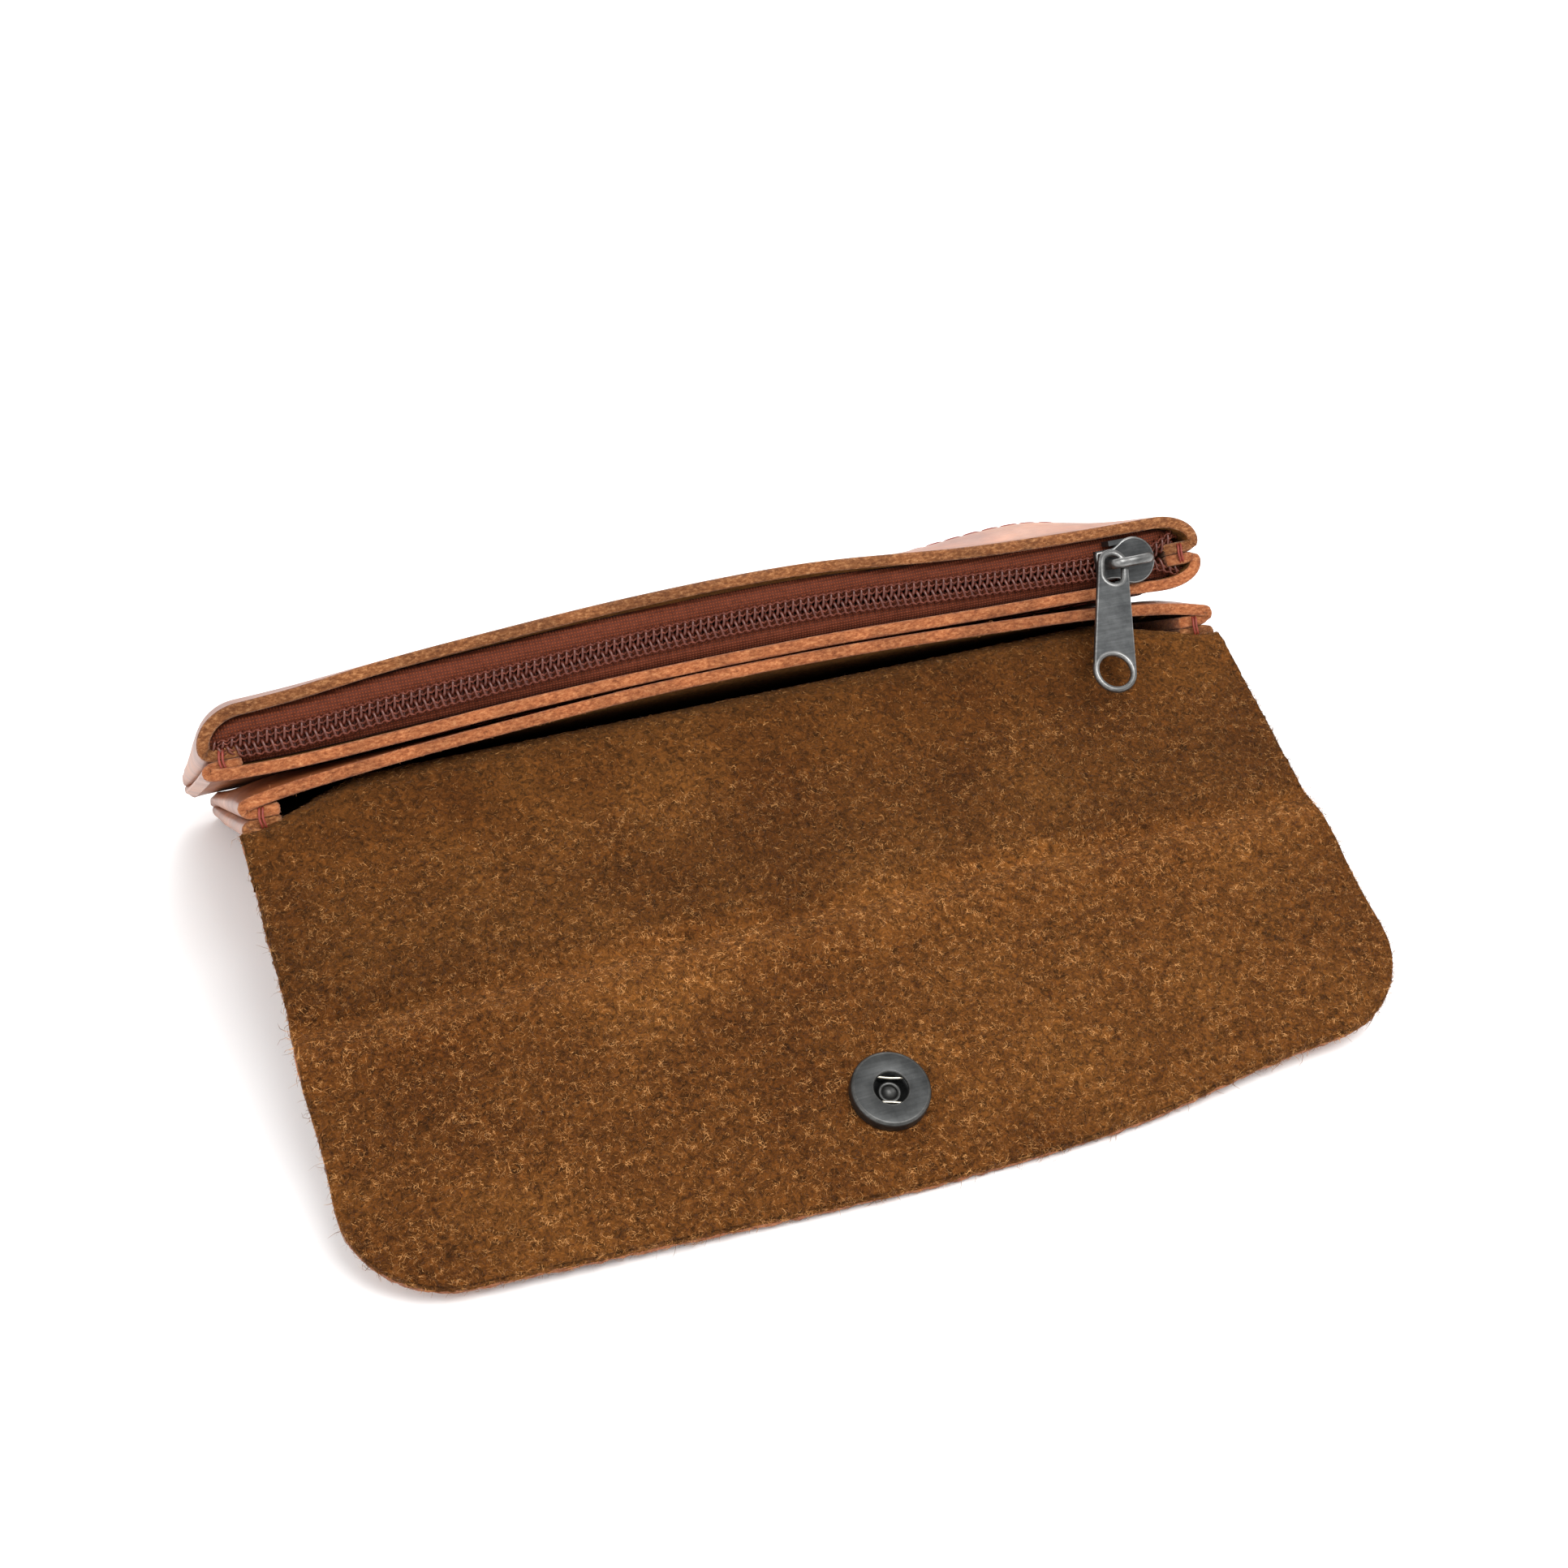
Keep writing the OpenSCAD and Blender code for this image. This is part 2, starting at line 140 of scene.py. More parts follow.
# ------ shaders
class Shader:
    """A principled material built from procedural nodes."""

    def __init__(self, name, **constants):
        self.material = bpy.data.materials.new(name)
        self.material.use_nodes = True
        self.tree = self.material.node_tree
        self.surface = self.tree.nodes["Principled BSDF"]
        self.place = self.tree.nodes.new("ShaderNodeTexCoord").outputs["Object"]
        for socket, value in constants.items():
            self.surface.inputs[socket.replace("_", " ")].default_value = value

    def add(self, kind, links=(), **settings):
        node = self.tree.nodes.new("ShaderNode" + kind)
        for key, value in settings.items():
            setattr(node, key, value)
        for socket, value in dict(links).items():
            if isinstance(value, bpy.types.NodeSocket):
                self.tree.links.new(value, node.inputs[socket])
            else:
                node.inputs[socket].default_value = value
        return node

    def stretched(self, stretch):
        return self.add("Mapping", {"Vector": self.place, "Scale": stretch}).outputs["Vector"]

    def noise(self, size, detail=4.0, rough=0.6, stretch=None, distortion=0.0):
        """Noise from 0 to 1 with features of this size in millimetres."""
        where = self.stretched(stretch) if stretch else self.place
        links = {"Vector": where, "Scale": 1 / (size * MM), "Detail": detail, "Roughness": rough,
                 "Distortion": distortion}
        return self.add("TexNoise", links).outputs["Fac"]

    def cells(self, size, feature="F1", stretch=None):
        where = self.stretched(stretch) if stretch else self.place
        node = self.add("TexVoronoi", {"Vector": where, "Scale": 1 / (size * MM)}, feature=feature)
        return node.outputs["Distance"]

    def wave(self, size, direction="X", distortion=0.0):
        """Bands at this spacing in millimetres."""
        links = {"Vector": self.place, "Scale": math.pi / 10 / (size * MM), "Distortion": distortion}
        return self.add("TexWave", links, bands_direction=direction).outputs["Fac"]

    def ramp(self, factor, stops):
        node = self.add("ValToRGB", {"Fac": factor})
        ramp = node.color_ramp
        while len(ramp.elements) < len(stops):
            ramp.elements.new(0.5)
        for element, (position, colour) in zip(ramp.elements, stops):
            element.position = position
            element.color = (*colour, 1) if len(colour) == 3 else (colour[0],) * 3 + (1,)
        return node.outputs["Color"]

    def mix(self, factor, a, b, how="MIX"):
        node = self.add("Mix", data_type="RGBA", blend_type=how)
        for socket, value in ((0, factor), (6, a), (7, b)):
            if isinstance(value, bpy.types.NodeSocket):
                self.tree.links.new(value, node.inputs[socket])
            else:
                node.inputs[socket].default_value = (*value, 1) if isinstance(value, tuple) else value
        return node.outputs[2]

    def math(self, how, a, b=0.0):
        return self.add("Math", {0: a, 1: b}, operation=how).outputs[0]

    def colour(self, socket):
        self.tree.links.new(socket, self.surface.inputs["Base Color"])

    def rough(self, factor, low, high):
        links = {"Value": factor, "To Min": low, "To Max": high}
        self.tree.links.new(self.add("MapRange", links).outputs["Result"], self.surface.inputs["Roughness"])

    def bump(self, *heights):
        """Stacks bumps, each (height socket, depth in millimetres, strength)."""
        normal = None
        for height, depth, strength in heights:
            links = {"Height": height, "Distance": depth * MM, "Strength": strength}
            if normal is not None:
                links["Normal"] = normal
            normal = self.add("Bump", links).outputs["Normal"]
        self.tree.links.new(normal, self.surface.inputs["Normal"])
        return self.material


SHADING_START, SHADING_SPAN = 17, 50  # where the painted shade and highlight begin on the flap, and their run


def painted_crease_shading(s, colour):
    """Paints light and shade into the suede's colour along the flap: painted shade above its crease and a
    painted highlight on it.
    """
    along = s.add("VectorMath", {0: s.place, 1: tuple(FLAP_DOWN)}, operation="DOT_PRODUCT").outputs["Value"]
    wander = s.math("ADD", along, s.math("MULTIPLY", s.noise(22), 14 * MM))
    start = float(FOLD @ FLAP_DOWN) * MM + SHADING_START * MM
    links = {"Value": wander, "From Min": start, "From Max": start + SHADING_SPAN * MM}
    share = s.add("MapRange", links).outputs["Result"]
    # painted shade (below 1) above the crease, painted highlight (above 1) on the crease
    crease_light_and_shade = s.ramp(share, [(0.0, (0.96,)), (0.3, (0.82,)), (0.5, (0.86,)), (0.58, (1.24,)), (0.68, (1.16,)),
                          (0.85, (1.02,))])
    return s.mix(1.0, colour, crease_light_and_shade, "MULTIPLY")


def suede_material():
    s = Shader("suede", Specular_IOR_Level=0.05, Sheen_Weight=0.12, Sheen_Roughness=0.5)
    s.surface.inputs["Sheen Tint"].default_value = (0.9, 0.5, 0.2, 1)
    patches = s.ramp(s.noise(26, 3), [(0.32, (0.092, 0.027, 0.0045)), (0.5, (0.135, 0.044, 0.008)),
                                      (0.7, (0.185, 0.066, 0.013))])
    nap = s.ramp(s.noise(1.2, 5, 0.7, distortion=1.2), [(0.36, (0.2,)), (0.52, (0.8,)), (0.68, (1.5,))])
    # the suede's colour carries painted shade and a painted highlight along the flap's crease
    s.colour(painted_crease_shading(s, s.mix(1.0, patches, nap, "MULTIPLY")))
    s.rough(s.noise(3), 0.85, 1.0)
    return s.bump((s.noise(4), 0.5, 0.5), (s.noise(0.5, 6, 0.75, distortion=1.5), 0.45, 0.9))


def fibre_material(name, dark, middle, light):
    s = Shader(name, Specular_IOR_Level=0.08, Sheen_Weight=0.1)
    strands = s.ramp(s.noise(1.5, 3, 0.7), [(0.36, dark), (0.5, middle), (0.66, light)])
    patches = s.ramp(s.noise(24, 3), [(0.32, (0.82,)), (0.52, (1.0,)), (0.7, (1.14,))])
    # the fibres' colour carries painted shade and a painted highlight along the flap's crease
    s.colour(painted_crease_shading(s, s.mix(1.0, strands, patches, "MULTIPLY")))
    s.rough(s.noise(2), 0.6, 0.9)
    return s.bump((s.noise(0.3), 0.05, 0.4))


def grain_material():
    s = Shader("leather_grain", Specular_IOR_Level=0.55, Coat_Weight=0.12, Coat_Roughness=0.35)
    pull_up = s.ramp(s.noise(30, 5, 0.65, distortion=0.6), [
        (0.3, (0.16, 0.040, 0.011)), (0.48, (0.27, 0.080, 0.024)), (0.62, (0.36, 0.125, 0.042)),
        (0.78, (0.46, 0.19, 0.075))])
    scuffs = s.ramp(s.noise(7, 6, 0.7, stretch=(0.4, 1, 1)), [(0.42, (0.8,)), (0.62, (1.12,))])
    s.colour(s.mix(1.0, pull_up, scuffs, "MULTIPLY"))
    s.rough(s.noise(9, 5), 0.34, 0.56)
    creases = s.cells(2.4, "DISTANCE_TO_EDGE", stretch=(0.55, 1, 1))
    return s.bump((s.noise(12, 4), 0.5, 0.35), (creases, 0.06, 0.35), (s.cells(0.55), 0.05, 0.5))


def raw_edge_material(name, dark, middle, light):
    s = Shader(name, Specular_IOR_Level=0.15, Sheen_Weight=0.15)
    fleck = s.ramp(s.noise(0.5, 5, 0.75, stretch=(0.5, 1, 1)), [(0.3, dark), (0.5, middle), (0.72, light)])
    stain = s.ramp(s.noise(9, 3), [(0.35, (0.75,)), (0.6, (1.1,))])
    s.colour(s.mix(1.0, fleck, stain, "MULTIPLY"))
    s.rough(s.noise(1.5), 0.75, 0.95)
    return s.bump((s.noise(0.45, 5, 0.75, stretch=(0.5, 1, 1)), 0.3, 0.8))


def tape_material():
    s = Shader("zip_tape_weave", Specular_IOR_Level=0.15, Sheen_Weight=0.06, Sheen_Roughness=0.4)
    ribs = s.math("MULTIPLY", s.wave(0.55, "X", 0.4), s.wave(0.5, "Z", 0.4))
    yarn = s.ramp(ribs, [(0.0, (0.062, 0.011, 0.003)), (0.5, (0.18, 0.033, 0.009)),
                         (1.0, (0.29, 0.066, 0.021))])
    wear = s.ramp(s.noise(0.9, 4), [(0.3, (0.05, 0.012, 0.006)), (0.7, (0.19, 0.05, 0.026))])
    s.colour(s.mix(0.35, yarn, wear))
    s.rough(ribs, 0.6, 0.85)
    return s.bump((ribs, 0.16, 0.9), (s.noise(0.2, 3), 0.06, 0.6))


def nylon_material(name, dark, light, rough=(0.28, 0.5)):
    s = Shader(name, Specular_IOR_Level=0.5)
    s.colour(s.ramp(s.noise(1.1, 4), [(0.3, dark), (0.7, light)]))
    s.rough(s.noise(0.8), *rough)
    return s.bump((s.noise(0.35, 4), 0.04, 0.5))


def metal_material(name, dark, light, rough, scratch=0.35):
    s = Shader(name, Metallic=0.9)
    tarnish = s.ramp(s.noise(3.5, 6, 0.65), [(0.3, dark), (0.68, light)])
    lines = s.ramp(s.noise(0.5, 3, 0.6, stretch=(0.08, 1, 1)),
                   [(0.35, (1 - scratch,)), (0.65, (1 + scratch / 2,))])
    s.colour(s.mix(1.0, tarnish, lines, "MULTIPLY"))
    s.rough(s.noise(1.6, 5, 0.7), *rough)
    return s.bump((s.noise(1.2, 5), 0.04, 0.3), (s.noise(0.15, 3), 0.01, 0.25))


def floor_material():
    s = Shader("pale_floor", Specular_IOR_Level=0.2, Roughness=0.8)
    s.colour(s.ramp(s.noise(120, 2), [(0.3, (0.955, 0.955, 0.955)), (0.7, (0.98, 0.98, 0.98))]))
    return s.bump((s.noise(2), 0.02, 0.1))


SUEDE = suede_material()
GRAIN = grain_material()
RAW_TAN = raw_edge_material("raw_edge_tan", (0.075, 0.022, 0.006), (0.20, 0.068, 0.020), (0.46, 0.22, 0.09))
RAW_ORANGE = raw_edge_material("raw_edge_orange", (0.13, 0.030, 0.009), (0.32, 0.100, 0.034),
                               (0.56, 0.24, 0.10))
NAP = fibre_material("suede_fibres", (0.055, 0.015, 0.0025), (0.20, 0.073, 0.016), (0.54, 0.26, 0.088))
FUZZ = fibre_material("edge_fibres", (0.24, 0.075, 0.022), (0.42, 0.165, 0.060), (0.60, 0.29, 0.13))
TAPE = tape_material()
COIL = nylon_material("zip_coil_nylon", (0.055, 0.011, 0.006), (0.12, 0.028, 0.015), (0.2, 0.4))
SEWING = nylon_material("zip_sewing_thread", (0.075, 0.014, 0.006), (0.17, 0.036, 0.016), (0.5, 0.8))
RED_THREAD = nylon_material("seam_thread", (0.15, 0.016, 0.008), (0.26, 0.036, 0.018), (0.4, 0.65))
NICKEL = metal_material("antique_nickel", (0.040, 0.042, 0.043), (0.085, 0.087, 0.087), (0.34, 0.52), 0.2)
NICKEL_WORN = metal_material("worn_nickel", (0.11, 0.11, 0.107), (0.26, 0.257, 0.25), (0.26, 0.42), 0.25)
GUNMETAL = metal_material("gunmetal", (0.032, 0.033, 0.033), (0.062, 0.063, 0.062), (0.36, 0.55), 0.15)
GUNMETAL_WORN = metal_material("worn_gunmetal", (0.048, 0.048, 0.046), (0.10, 0.099, 0.095),
                               (0.3, 0.48), 0.2)
WIRE = metal_material("spring_wire", (0.34, 0.31, 0.25), (0.58, 0.54, 0.46), (0.22, 0.35), 0.1)
FLOOR = floor_material()


# ------ meshes
def piece(name, verts, faces, materials, face_slots=None, closed=True):
    """A mesh piece from points in millimetres."""
    mesh = bpy.data.meshes.new(name)
    faces = faces.tolist() if isinstance(faces, np.ndarray) else faces
    mesh.from_pydata((np.asarray(verts, float).reshape(-1, 3) * MM).tolist(), [], faces)
    for material in materials:
        mesh.materials.append(material)
    if face_slots is not None:
        mesh.polygons.foreach_set("material_index", np.asarray(face_slots, np.int32))
    mesh.polygons.foreach_set("use_smooth", np.full(len(mesh.polygons), True))
    if closed:
        shell = bmesh.new()
        shell.from_mesh(mesh)
        bmesh.ops.recalc_face_normals(shell, faces=shell.faces)
        shell.to_mesh(mesh)
        shell.free()
    mesh.update()
    thing = bpy.data.objects.new(name, mesh)
    bpy.context.scene.collection.objects.link(thing)
    return thing


def merged(parts):
    """Joins (verts, faces) pairs into one."""
    verts, faces, count = [], [], 0
    for part_verts, part_faces in parts:
        verts.append(np.asarray(part_verts, float).reshape(-1, 3))
        faces.extend([[i + count for i in face] for face in part_faces])
        count += len(verts[-1])
    return np.concatenate(verts), faces


def grid_faces(rows, columns, wrap=False):
    """Quads over a grid of points, wrapped round in its columns if asked."""
    last = columns if wrap else columns - 1
    i, j = np.meshgrid(np.arange(rows - 1), np.arange(last), indexing="ij")
    k = (j + 1) % columns
    here = i * columns
    below = here + columns
    return np.stack([here + j, below + j, below + k, here + k], -1).reshape(-1, 4)


def grid_normals(mid):
    along = np.gradient(mid, axis=0)
    across = np.gradient(mid, axis=1)
    normal = np.cross(across, along)
    return normal / np.maximum(np.linalg.norm(normal, axis=-1, keepdims=True), 1e-9)


def rim_of(grid):
    """The points round the border of a grid, in order."""
    return np.concatenate([grid[0, :-1], grid[:-1, -1], grid[-1, :0:-1], grid[:0:-1, 0]])


def hide(name, mid, slots, flip=1, thickness=HIDE, ragged=0.12, seed=1, joins=(), creep=0):
    """A sheet of hide round a grid of middle points: first side, second side and a rounded raw edge.

    joins lists the rows (0 or -1) where the sheet goes on as another piece and so has no raw edge;
    creep counts the strips of the edge, out of 6, that the first side's nap covers.
    """
    rows, columns = mid.shape[:2]
    normal = grid_normals(mid) * flip
    half = thickness / 2
    bevel = min(0.3, 0.8 * half)
    index = np.arange(rows * columns).reshape(rows, columns)
    inner = mid.copy()
    inner[0], inner[-1] = inner[1], inner[-2]
    inner[:, 0], inner[:, -1] = inner[:, 1], inner[:, -2]
    outward = mid - inner
    length = np.linalg.norm(outward, axis=-1, keepdims=True)
    outward = np.where(length > 1e-6, outward / np.maximum(length, 1e-6), 0)
    for row in joins:
        outward[row] = 0
    for corner in ((row, column) for row in joins for column in (0, -1)):
        outward[corner] = outward[corner[0] + (1 if corner[0] == 0 else -1), corner[1]]
    top = mid + normal * half - outward * bevel
    bottom = mid - normal * half - outward * bevel
    border, edge_out, edge_up = rim_of(mid), rim_of(outward), rim_of(normal)
    rings = []
    local = np.random.default_rng(seed)
    for level in (1, 0.5, 0, -0.5, -1):
        rough = local.normal(0, ragged, (len(border), 1))
        rings.append(border + edge_up * level * (half - bevel) + edge_out * rough)
    sheet = rows * columns
    loops = [2 * sheet + n * len(border) + np.arange(len(border)) for n in range(len(rings))]
    around = [rim_of(index), *loops, sheet + rim_of(index)]
    verts = np.concatenate([top.reshape(-1, 3), bottom.reshape(-1, 3), *rings])
    quads = grid_faces(rows, columns)
    faces = [quads, quads[:, ::-1] + sheet]
    for a, b in zip(around[:-1], around[1:]):
        faces.append(np.stack([a, np.roll(a, -1), np.roll(b, -1), b], -1))
    kept = np.full(len(border), True)
    kept[:columns - 1] = 0 not in joins
    kept[columns + rows - 2:2 * columns + rows - 3] = -1 not in joins
    faces[2:] = [ring[kept] for ring in faces[2:]]
    slot_of = np.concatenate([np.full(len(quads), 0), np.full(len(quads), 1),
                              np.full(creep * kept.sum(), 0),
                              np.full((len(rings) + 1 - creep) * kept.sum(), 2)])
    return piece(name, verts, np.concatenate(faces), slots, slot_of)


def tube(path, radius, sides=8, closed=False, flat=1.0, up=None):
    """A swept tube along a path, as (verts, faces). flat squeezes it along its second direction."""
    path = np.asarray(path, float)
    count = len(path)
    radius = np.broadcast_to(radius, count)
    if closed:
        forward = np.roll(path, -1, 0) - np.roll(path, 1, 0)
    else:
        forward = np.gradient(path, axis=0)
    forward /= np.linalg.norm(forward, axis=1, keepdims=True)
    side = np.cross(forward[0], up if up is not None else (0.3, 0.5, 0.8))
    side /= np.linalg.norm(side)
    sides_of = []
    for direction in forward:
        side = side - direction * (side @ direction)
        side /= np.linalg.norm(side)
        sides_of.append(side)
    first = np.array(sides_of)
    second = np.cross(forward, first)
    angle = np.linspace(0, 2 * math.pi, sides, endpoint=False)
    cosine, sine = np.cos(angle)[None, :, None], np.sin(angle)[None, :, None]
    ring = first[:, None] * cosine + second[:, None] * flat * sine
    verts = (path[:, None] + ring * radius[:, None, None]).reshape(-1, 3)
    faces = grid_faces(count, sides, wrap=True).tolist()
    if closed:
        last = (count - 1) * sides
        faces += [[last + j, j, (j + 1) % sides, last + (j + 1) % sides] for j in range(sides)]
    else:
        faces.append(list(range(sides))[::-1])
        faces.append([(count - 1) * sides + j for j in range(sides)])
    return verts, faces


def lathe(name, profile, place, axis, materials, slot_of=None):
    """A turned piece: profile holds (radius, height) pairs round an axis through place."""
    segments = 72
    axis = np.asarray(axis, float) / np.linalg.norm(axis)
    first = np.cross(axis, RIGHT)
    first /= np.linalg.norm(first)
    second = np.cross(axis, first)
    angle = np.linspace(0, 2 * math.pi, segments, endpoint=False)
    turn = first[None] * np.cos(angle)[:, None] + second[None] * np.sin(angle)[:, None]
    rings = np.array([place + axis * height + turn * radius for radius, height in profile])
    faces = grid_faces(len(profile), segments, wrap=True)
    slots = None if slot_of is None else np.repeat(slot_of, segments)
    return piece(name, rings.reshape(-1, 3), faces, materials, slots)


def flat_plate(name, outlines, thickness, bevel, matrix, materials):
    """A plate with holes and rounded edges from closed outlines in its plane; worn metal on the rounds."""
    drawing = bpy.data.curves.new(name, "CURVE")
    drawing.dimensions = "2D"
    drawing.fill_mode = "BOTH"
    drawing.extrude = (thickness / 2 - bevel) * MM
    drawing.bevel_depth = bevel * MM
    drawing.bevel_resolution = 3
    drawing.offset = -bevel * MM
    for outline in outlines:
        spline = drawing.splines.new("POLY")
        spline.points.add(len(outline) - 1)
        for point, (x, y) in zip(spline.points, outline):
            point.co = (x * MM, y * MM, 0, 1)
        spline.use_cyclic_u = True
    source = bpy.data.objects.new(name + "_drawing", drawing)
    bpy.context.scene.collection.objects.link(source)
    bpy.context.view_layer.update()
    mesh = bpy.data.meshes.new_from_object(source.evaluated_get(bpy.context.evaluated_depsgraph_get()))
    bpy.data.objects.remove(source)
    mesh.name = name
    mesh.materials.clear()
    for material in materials:
        mesh.materials.append(material)
    for face in mesh.polygons:
        face.material_index = 1 if 0.15 < abs(face.normal.z) < 0.985 else 0
        face.use_smooth = abs(face.normal.z) < 0.985
    mesh.transform(matrix)
    thing = bpy.data.objects.new(name, mesh)
    bpy.context.scene.collection.objects.link(thing)
    return thing


def frame_matrix(origin, x_axis, y_axis, z_axis):
    """The matrix that puts a drawing's axes on these directions, its origin at a point in millimetres."""
    matrix = Matrix.Identity(4)
    for column, axis in enumerate((x_axis, y_axis, z_axis)):
        for row in range(3):
            matrix[row][column] = float(axis[row])
    for row in range(3):
        matrix[row][3] = float(origin[row]) * MM
    return matrix


def round_outline(centre, radius, start=0.0, end=360.0, count=48):
    angle = np.radians(np.linspace(start, end, count, endpoint=abs(end - start) < 360))
    return [(centre[0] + radius * math.cos(a), centre[1] + radius * math.sin(a)) for a in angle]


def nap(name, source, slot, count, length, width, lean, material, spread=0.35):
    """Curly fibres rooted on the faces of one material slot of a mesh piece."""
    mesh = source.data
    faces = len(mesh.polygons)
    corners = np.zeros(faces * 4, np.int32)
    mesh.loops.foreach_get("vertex_index", corners)
    slots = np.zeros(faces, np.int32)
    mesh.polygons.foreach_get("material_index", slots)
    area = np.zeros(faces)
    mesh.polygons.foreach_get("area", area)
    normals = np.zeros(faces * 3)
    mesh.polygons.foreach_get("normal", normals)
    verts = np.zeros(len(mesh.vertices) * 3)
    mesh.vertices.foreach_get("co", verts)
    verts = verts.reshape(-1, 3) / MM
    weight = area * (slots == slot)
    chosen = rng.choice(faces, count, p=weight / weight.sum())
    a, b, c, d = (verts[corners.reshape(-1, 4)[chosen, k]] for k in range(4))
    s, t = rng.random((2, count, 1))
    root = (a * (1 - s) + b * s) * (1 - t) + (d * (1 - s) + c * s) * t
    normal = normals.reshape(-1, 3)[chosen]
    flat = rng.normal(size=(count, 3))
    flat -= normal * (flat * normal).sum(1, keepdims=True)
    flat /= np.linalg.norm(flat, axis=1, keepdims=True)
    side = np.cross(normal, flat)
    tilt = np.radians(rng.normal(lean, 12, (count, 1)))
    turn = rng.normal(0, 1.1, (count, 1))
    reach = length * rng.lognormal(0, spread, (count, 1))
    steps = 4
    spine = [root - normal * 0.05]
    for k in range(1, steps):
        swing = turn * k
        heading = flat * np.cos(swing) + side * np.sin(swing)
        rise = np.cos(tilt) * (1.15 - 0.75 * k)
        step = heading * np.sin(tilt) + normal * np.maximum(rise, -0.25)
        spine.append(spine[-1] + reach / (steps - 1) * step)
    spine = np.stack(spine, 1)
    spine[..., 2] = np.maximum(spine[..., 2], 0.1)  # fibres lie on the table, not through it
    across = np.cross(np.gradient(spine, axis=1), rng.normal(size=(count, 1, 3)))
    across /= np.maximum(np.linalg.norm(across, axis=-1, keepdims=True), 1e-9)
    half = width / 2 * np.array([1.0, 0.9, 0.7, 0.25])[None, :, None]
    ribbon = np.stack([spine - across * half, spine + across * half], 2)
    base = np.arange(count)[:, None] * steps * 2
    quads = np.stack([np.concatenate([base + 2 * k + corner for corner in (0, 1, 3, 2)], 1)
                      for k in range(steps - 1)], 1)
    return piece(name, ribbon.reshape(-1, 3), quads.reshape(-1, 4), [material], closed=False)


# ------ the hide: flap and back
RIDGE_DEPTH = 22  # the ridge behind the pocket's lip ends this deep
SPLITS = (STRIP / 2, 1.5 * STRIP)  # the flap's pieces meet halfway between bends
# The flap's end was cut by hand: how much longer it is at these sideways places
FLAP_TRIM_X = (-95, -70, -40, 0, 35, 65, 95)
FLAP_TRIM = (0.4, -1.0, -1.5, -0.8, -0.8, -3.0, -2.4)
FLAP_SIDES = [SUEDE, GRAIN, RAW_ORANGE]  # its two sides and its raw edge
FLAP_COLUMNS = 190
CREASE = 38.5  # where a soft crease crosses the flap


def flap_rise(x, down):
    """How far the soft flap stands over its flat middle."""
    groove = 0.6 * np.exp(-((down - CREASE - 6) / 4) ** 2) - 0.9 * np.exp(-((down - CREASE) / 2.6) ** 2)
    waves = 0.30 * wobble(x, down, 62, 3) * np.clip(down / 25, 0, 1)
    return groove + waves * np.clip((FLAP_L - down) / 20, 0, 1)


def flap_edge(down):
    """Half width of the flap, which wanders a little where it was cut by hand."""
    return HALF_W + 0.35 * wobble(down, down * 0, 34, 5)


def flap_end(x):
    """How far down the flap reaches at this sideways place: a bowed end with round corners."""
    bow = (HALF_W**2 + FLAP_BOW**2) / (2 * FLAP_BOW)
    end = FLAP_L - bow + np.sqrt(bow**2 - x**2)
    corner_x = HALF_W - CORNER
    corner_down = FLAP_L - bow + math.sqrt((bow - CORNER) ** 2 - corner_x**2)
    beyond = np.clip(np.abs(x) - corner_x, 0, CORNER)
    corner = corner_down + np.sqrt(CORNER**2 - beyond**2)
    trim = curve_through(FLAP_TRIM_X, FLAP_TRIM, x)
    return np.where(np.abs(x) > corner_x + 1.6, np.minimum(corner, end), end) + trim


def flap_sheet(name, start, end, rows, seed):
    share = crowded(-1, 1, FLAP_COLUMNS)[None, :]
    t = np.linspace(0, 1, rows)[:, None]
    last = flap_end(share * HALF_W) if end is None else end
    down = start + (last - start) * (t if end is not None else 1 - (1 - t) ** 1.25)
    x = share * flap_edge(down)
    joins = (0,) if end is None else (0, -1)
    mid = flap(x, down, flap_rise(x, down))
    return hide(name, mid, FLAP_SIDES, flip=-1, seed=seed, joins=joins, creep=3)


def fold_sheet(name):
    """The hide from inside the pocket to the first split: it rises behind the lip in a soft ridge."""
    x = crowded(-1, 1, FLAP_COLUMNS)[None, :] * HALF_W
    w = np.linspace(1, 0, 26)[:-1, None]
    free = np.clip((HALF_W - 3 - np.abs(x)) / 14, 0, 1) ** 0.6
    # Control points of the ridge: depth, how much deeper at the sides, and height
    corners = ((0, 0, 0), (4.2, 0.4, 5.6), (6.5, 2.5, 9.0), (RIDGE_DEPTH, 0, 0))
    weights = ((1 - w) ** 3, 3 * w * (1 - w) ** 2, 3 * w**2 * (1 - w), w**3)
    depth = sum(share * (deep + more * (1 - free)) for share, (deep, more, _) in zip(weights, corners))
    up = sum(share * rise * free for share, (_, _, rise) in zip(weights, corners))
    narrow = 1 - 0.075 * np.clip((depth - 2) / 4, 0, 1)
    inside = pouch(x * narrow, depth, up)
    t = np.linspace(0, SPLITS[0], 14)[:, None]
    before = flap(x + 0 * t, t, flap_rise(x, t) * np.clip(t / 3, 0, 1))
    mid = np.concatenate([inside, before])
    return hide(name, mid, FLAP_SIDES, flip=-1, seed=11, joins=(-1,), creep=3)


fold_hide = fold_sheet("flap_fold_hide")
bend_hide = flap_sheet("flap_bend_hide", SPLITS[0], SPLITS[1], 26, 12)
leaf_hide = flap_sheet("flap_leaf_hide", SPLITS[1], None, 74, 13)

# ------ turned pouches
LIP_FLAT = 7.0  # the leathers run level this far behind the mouth
BOTTOM_TURN = 6  # they close over this last stretch
ALLOWANCE = 7.0  # width of leather turned inside at a side seam


def layer(mouth, bottom, depth):
    """The CAD's height of a layer at a depth: level behind the lip, then sloping to the bottom seam."""
    return mouth + (bottom - mouth) * np.clip((depth - LIP_FLAT) / (DEPTH - LIP_FLAT), 0, 1)


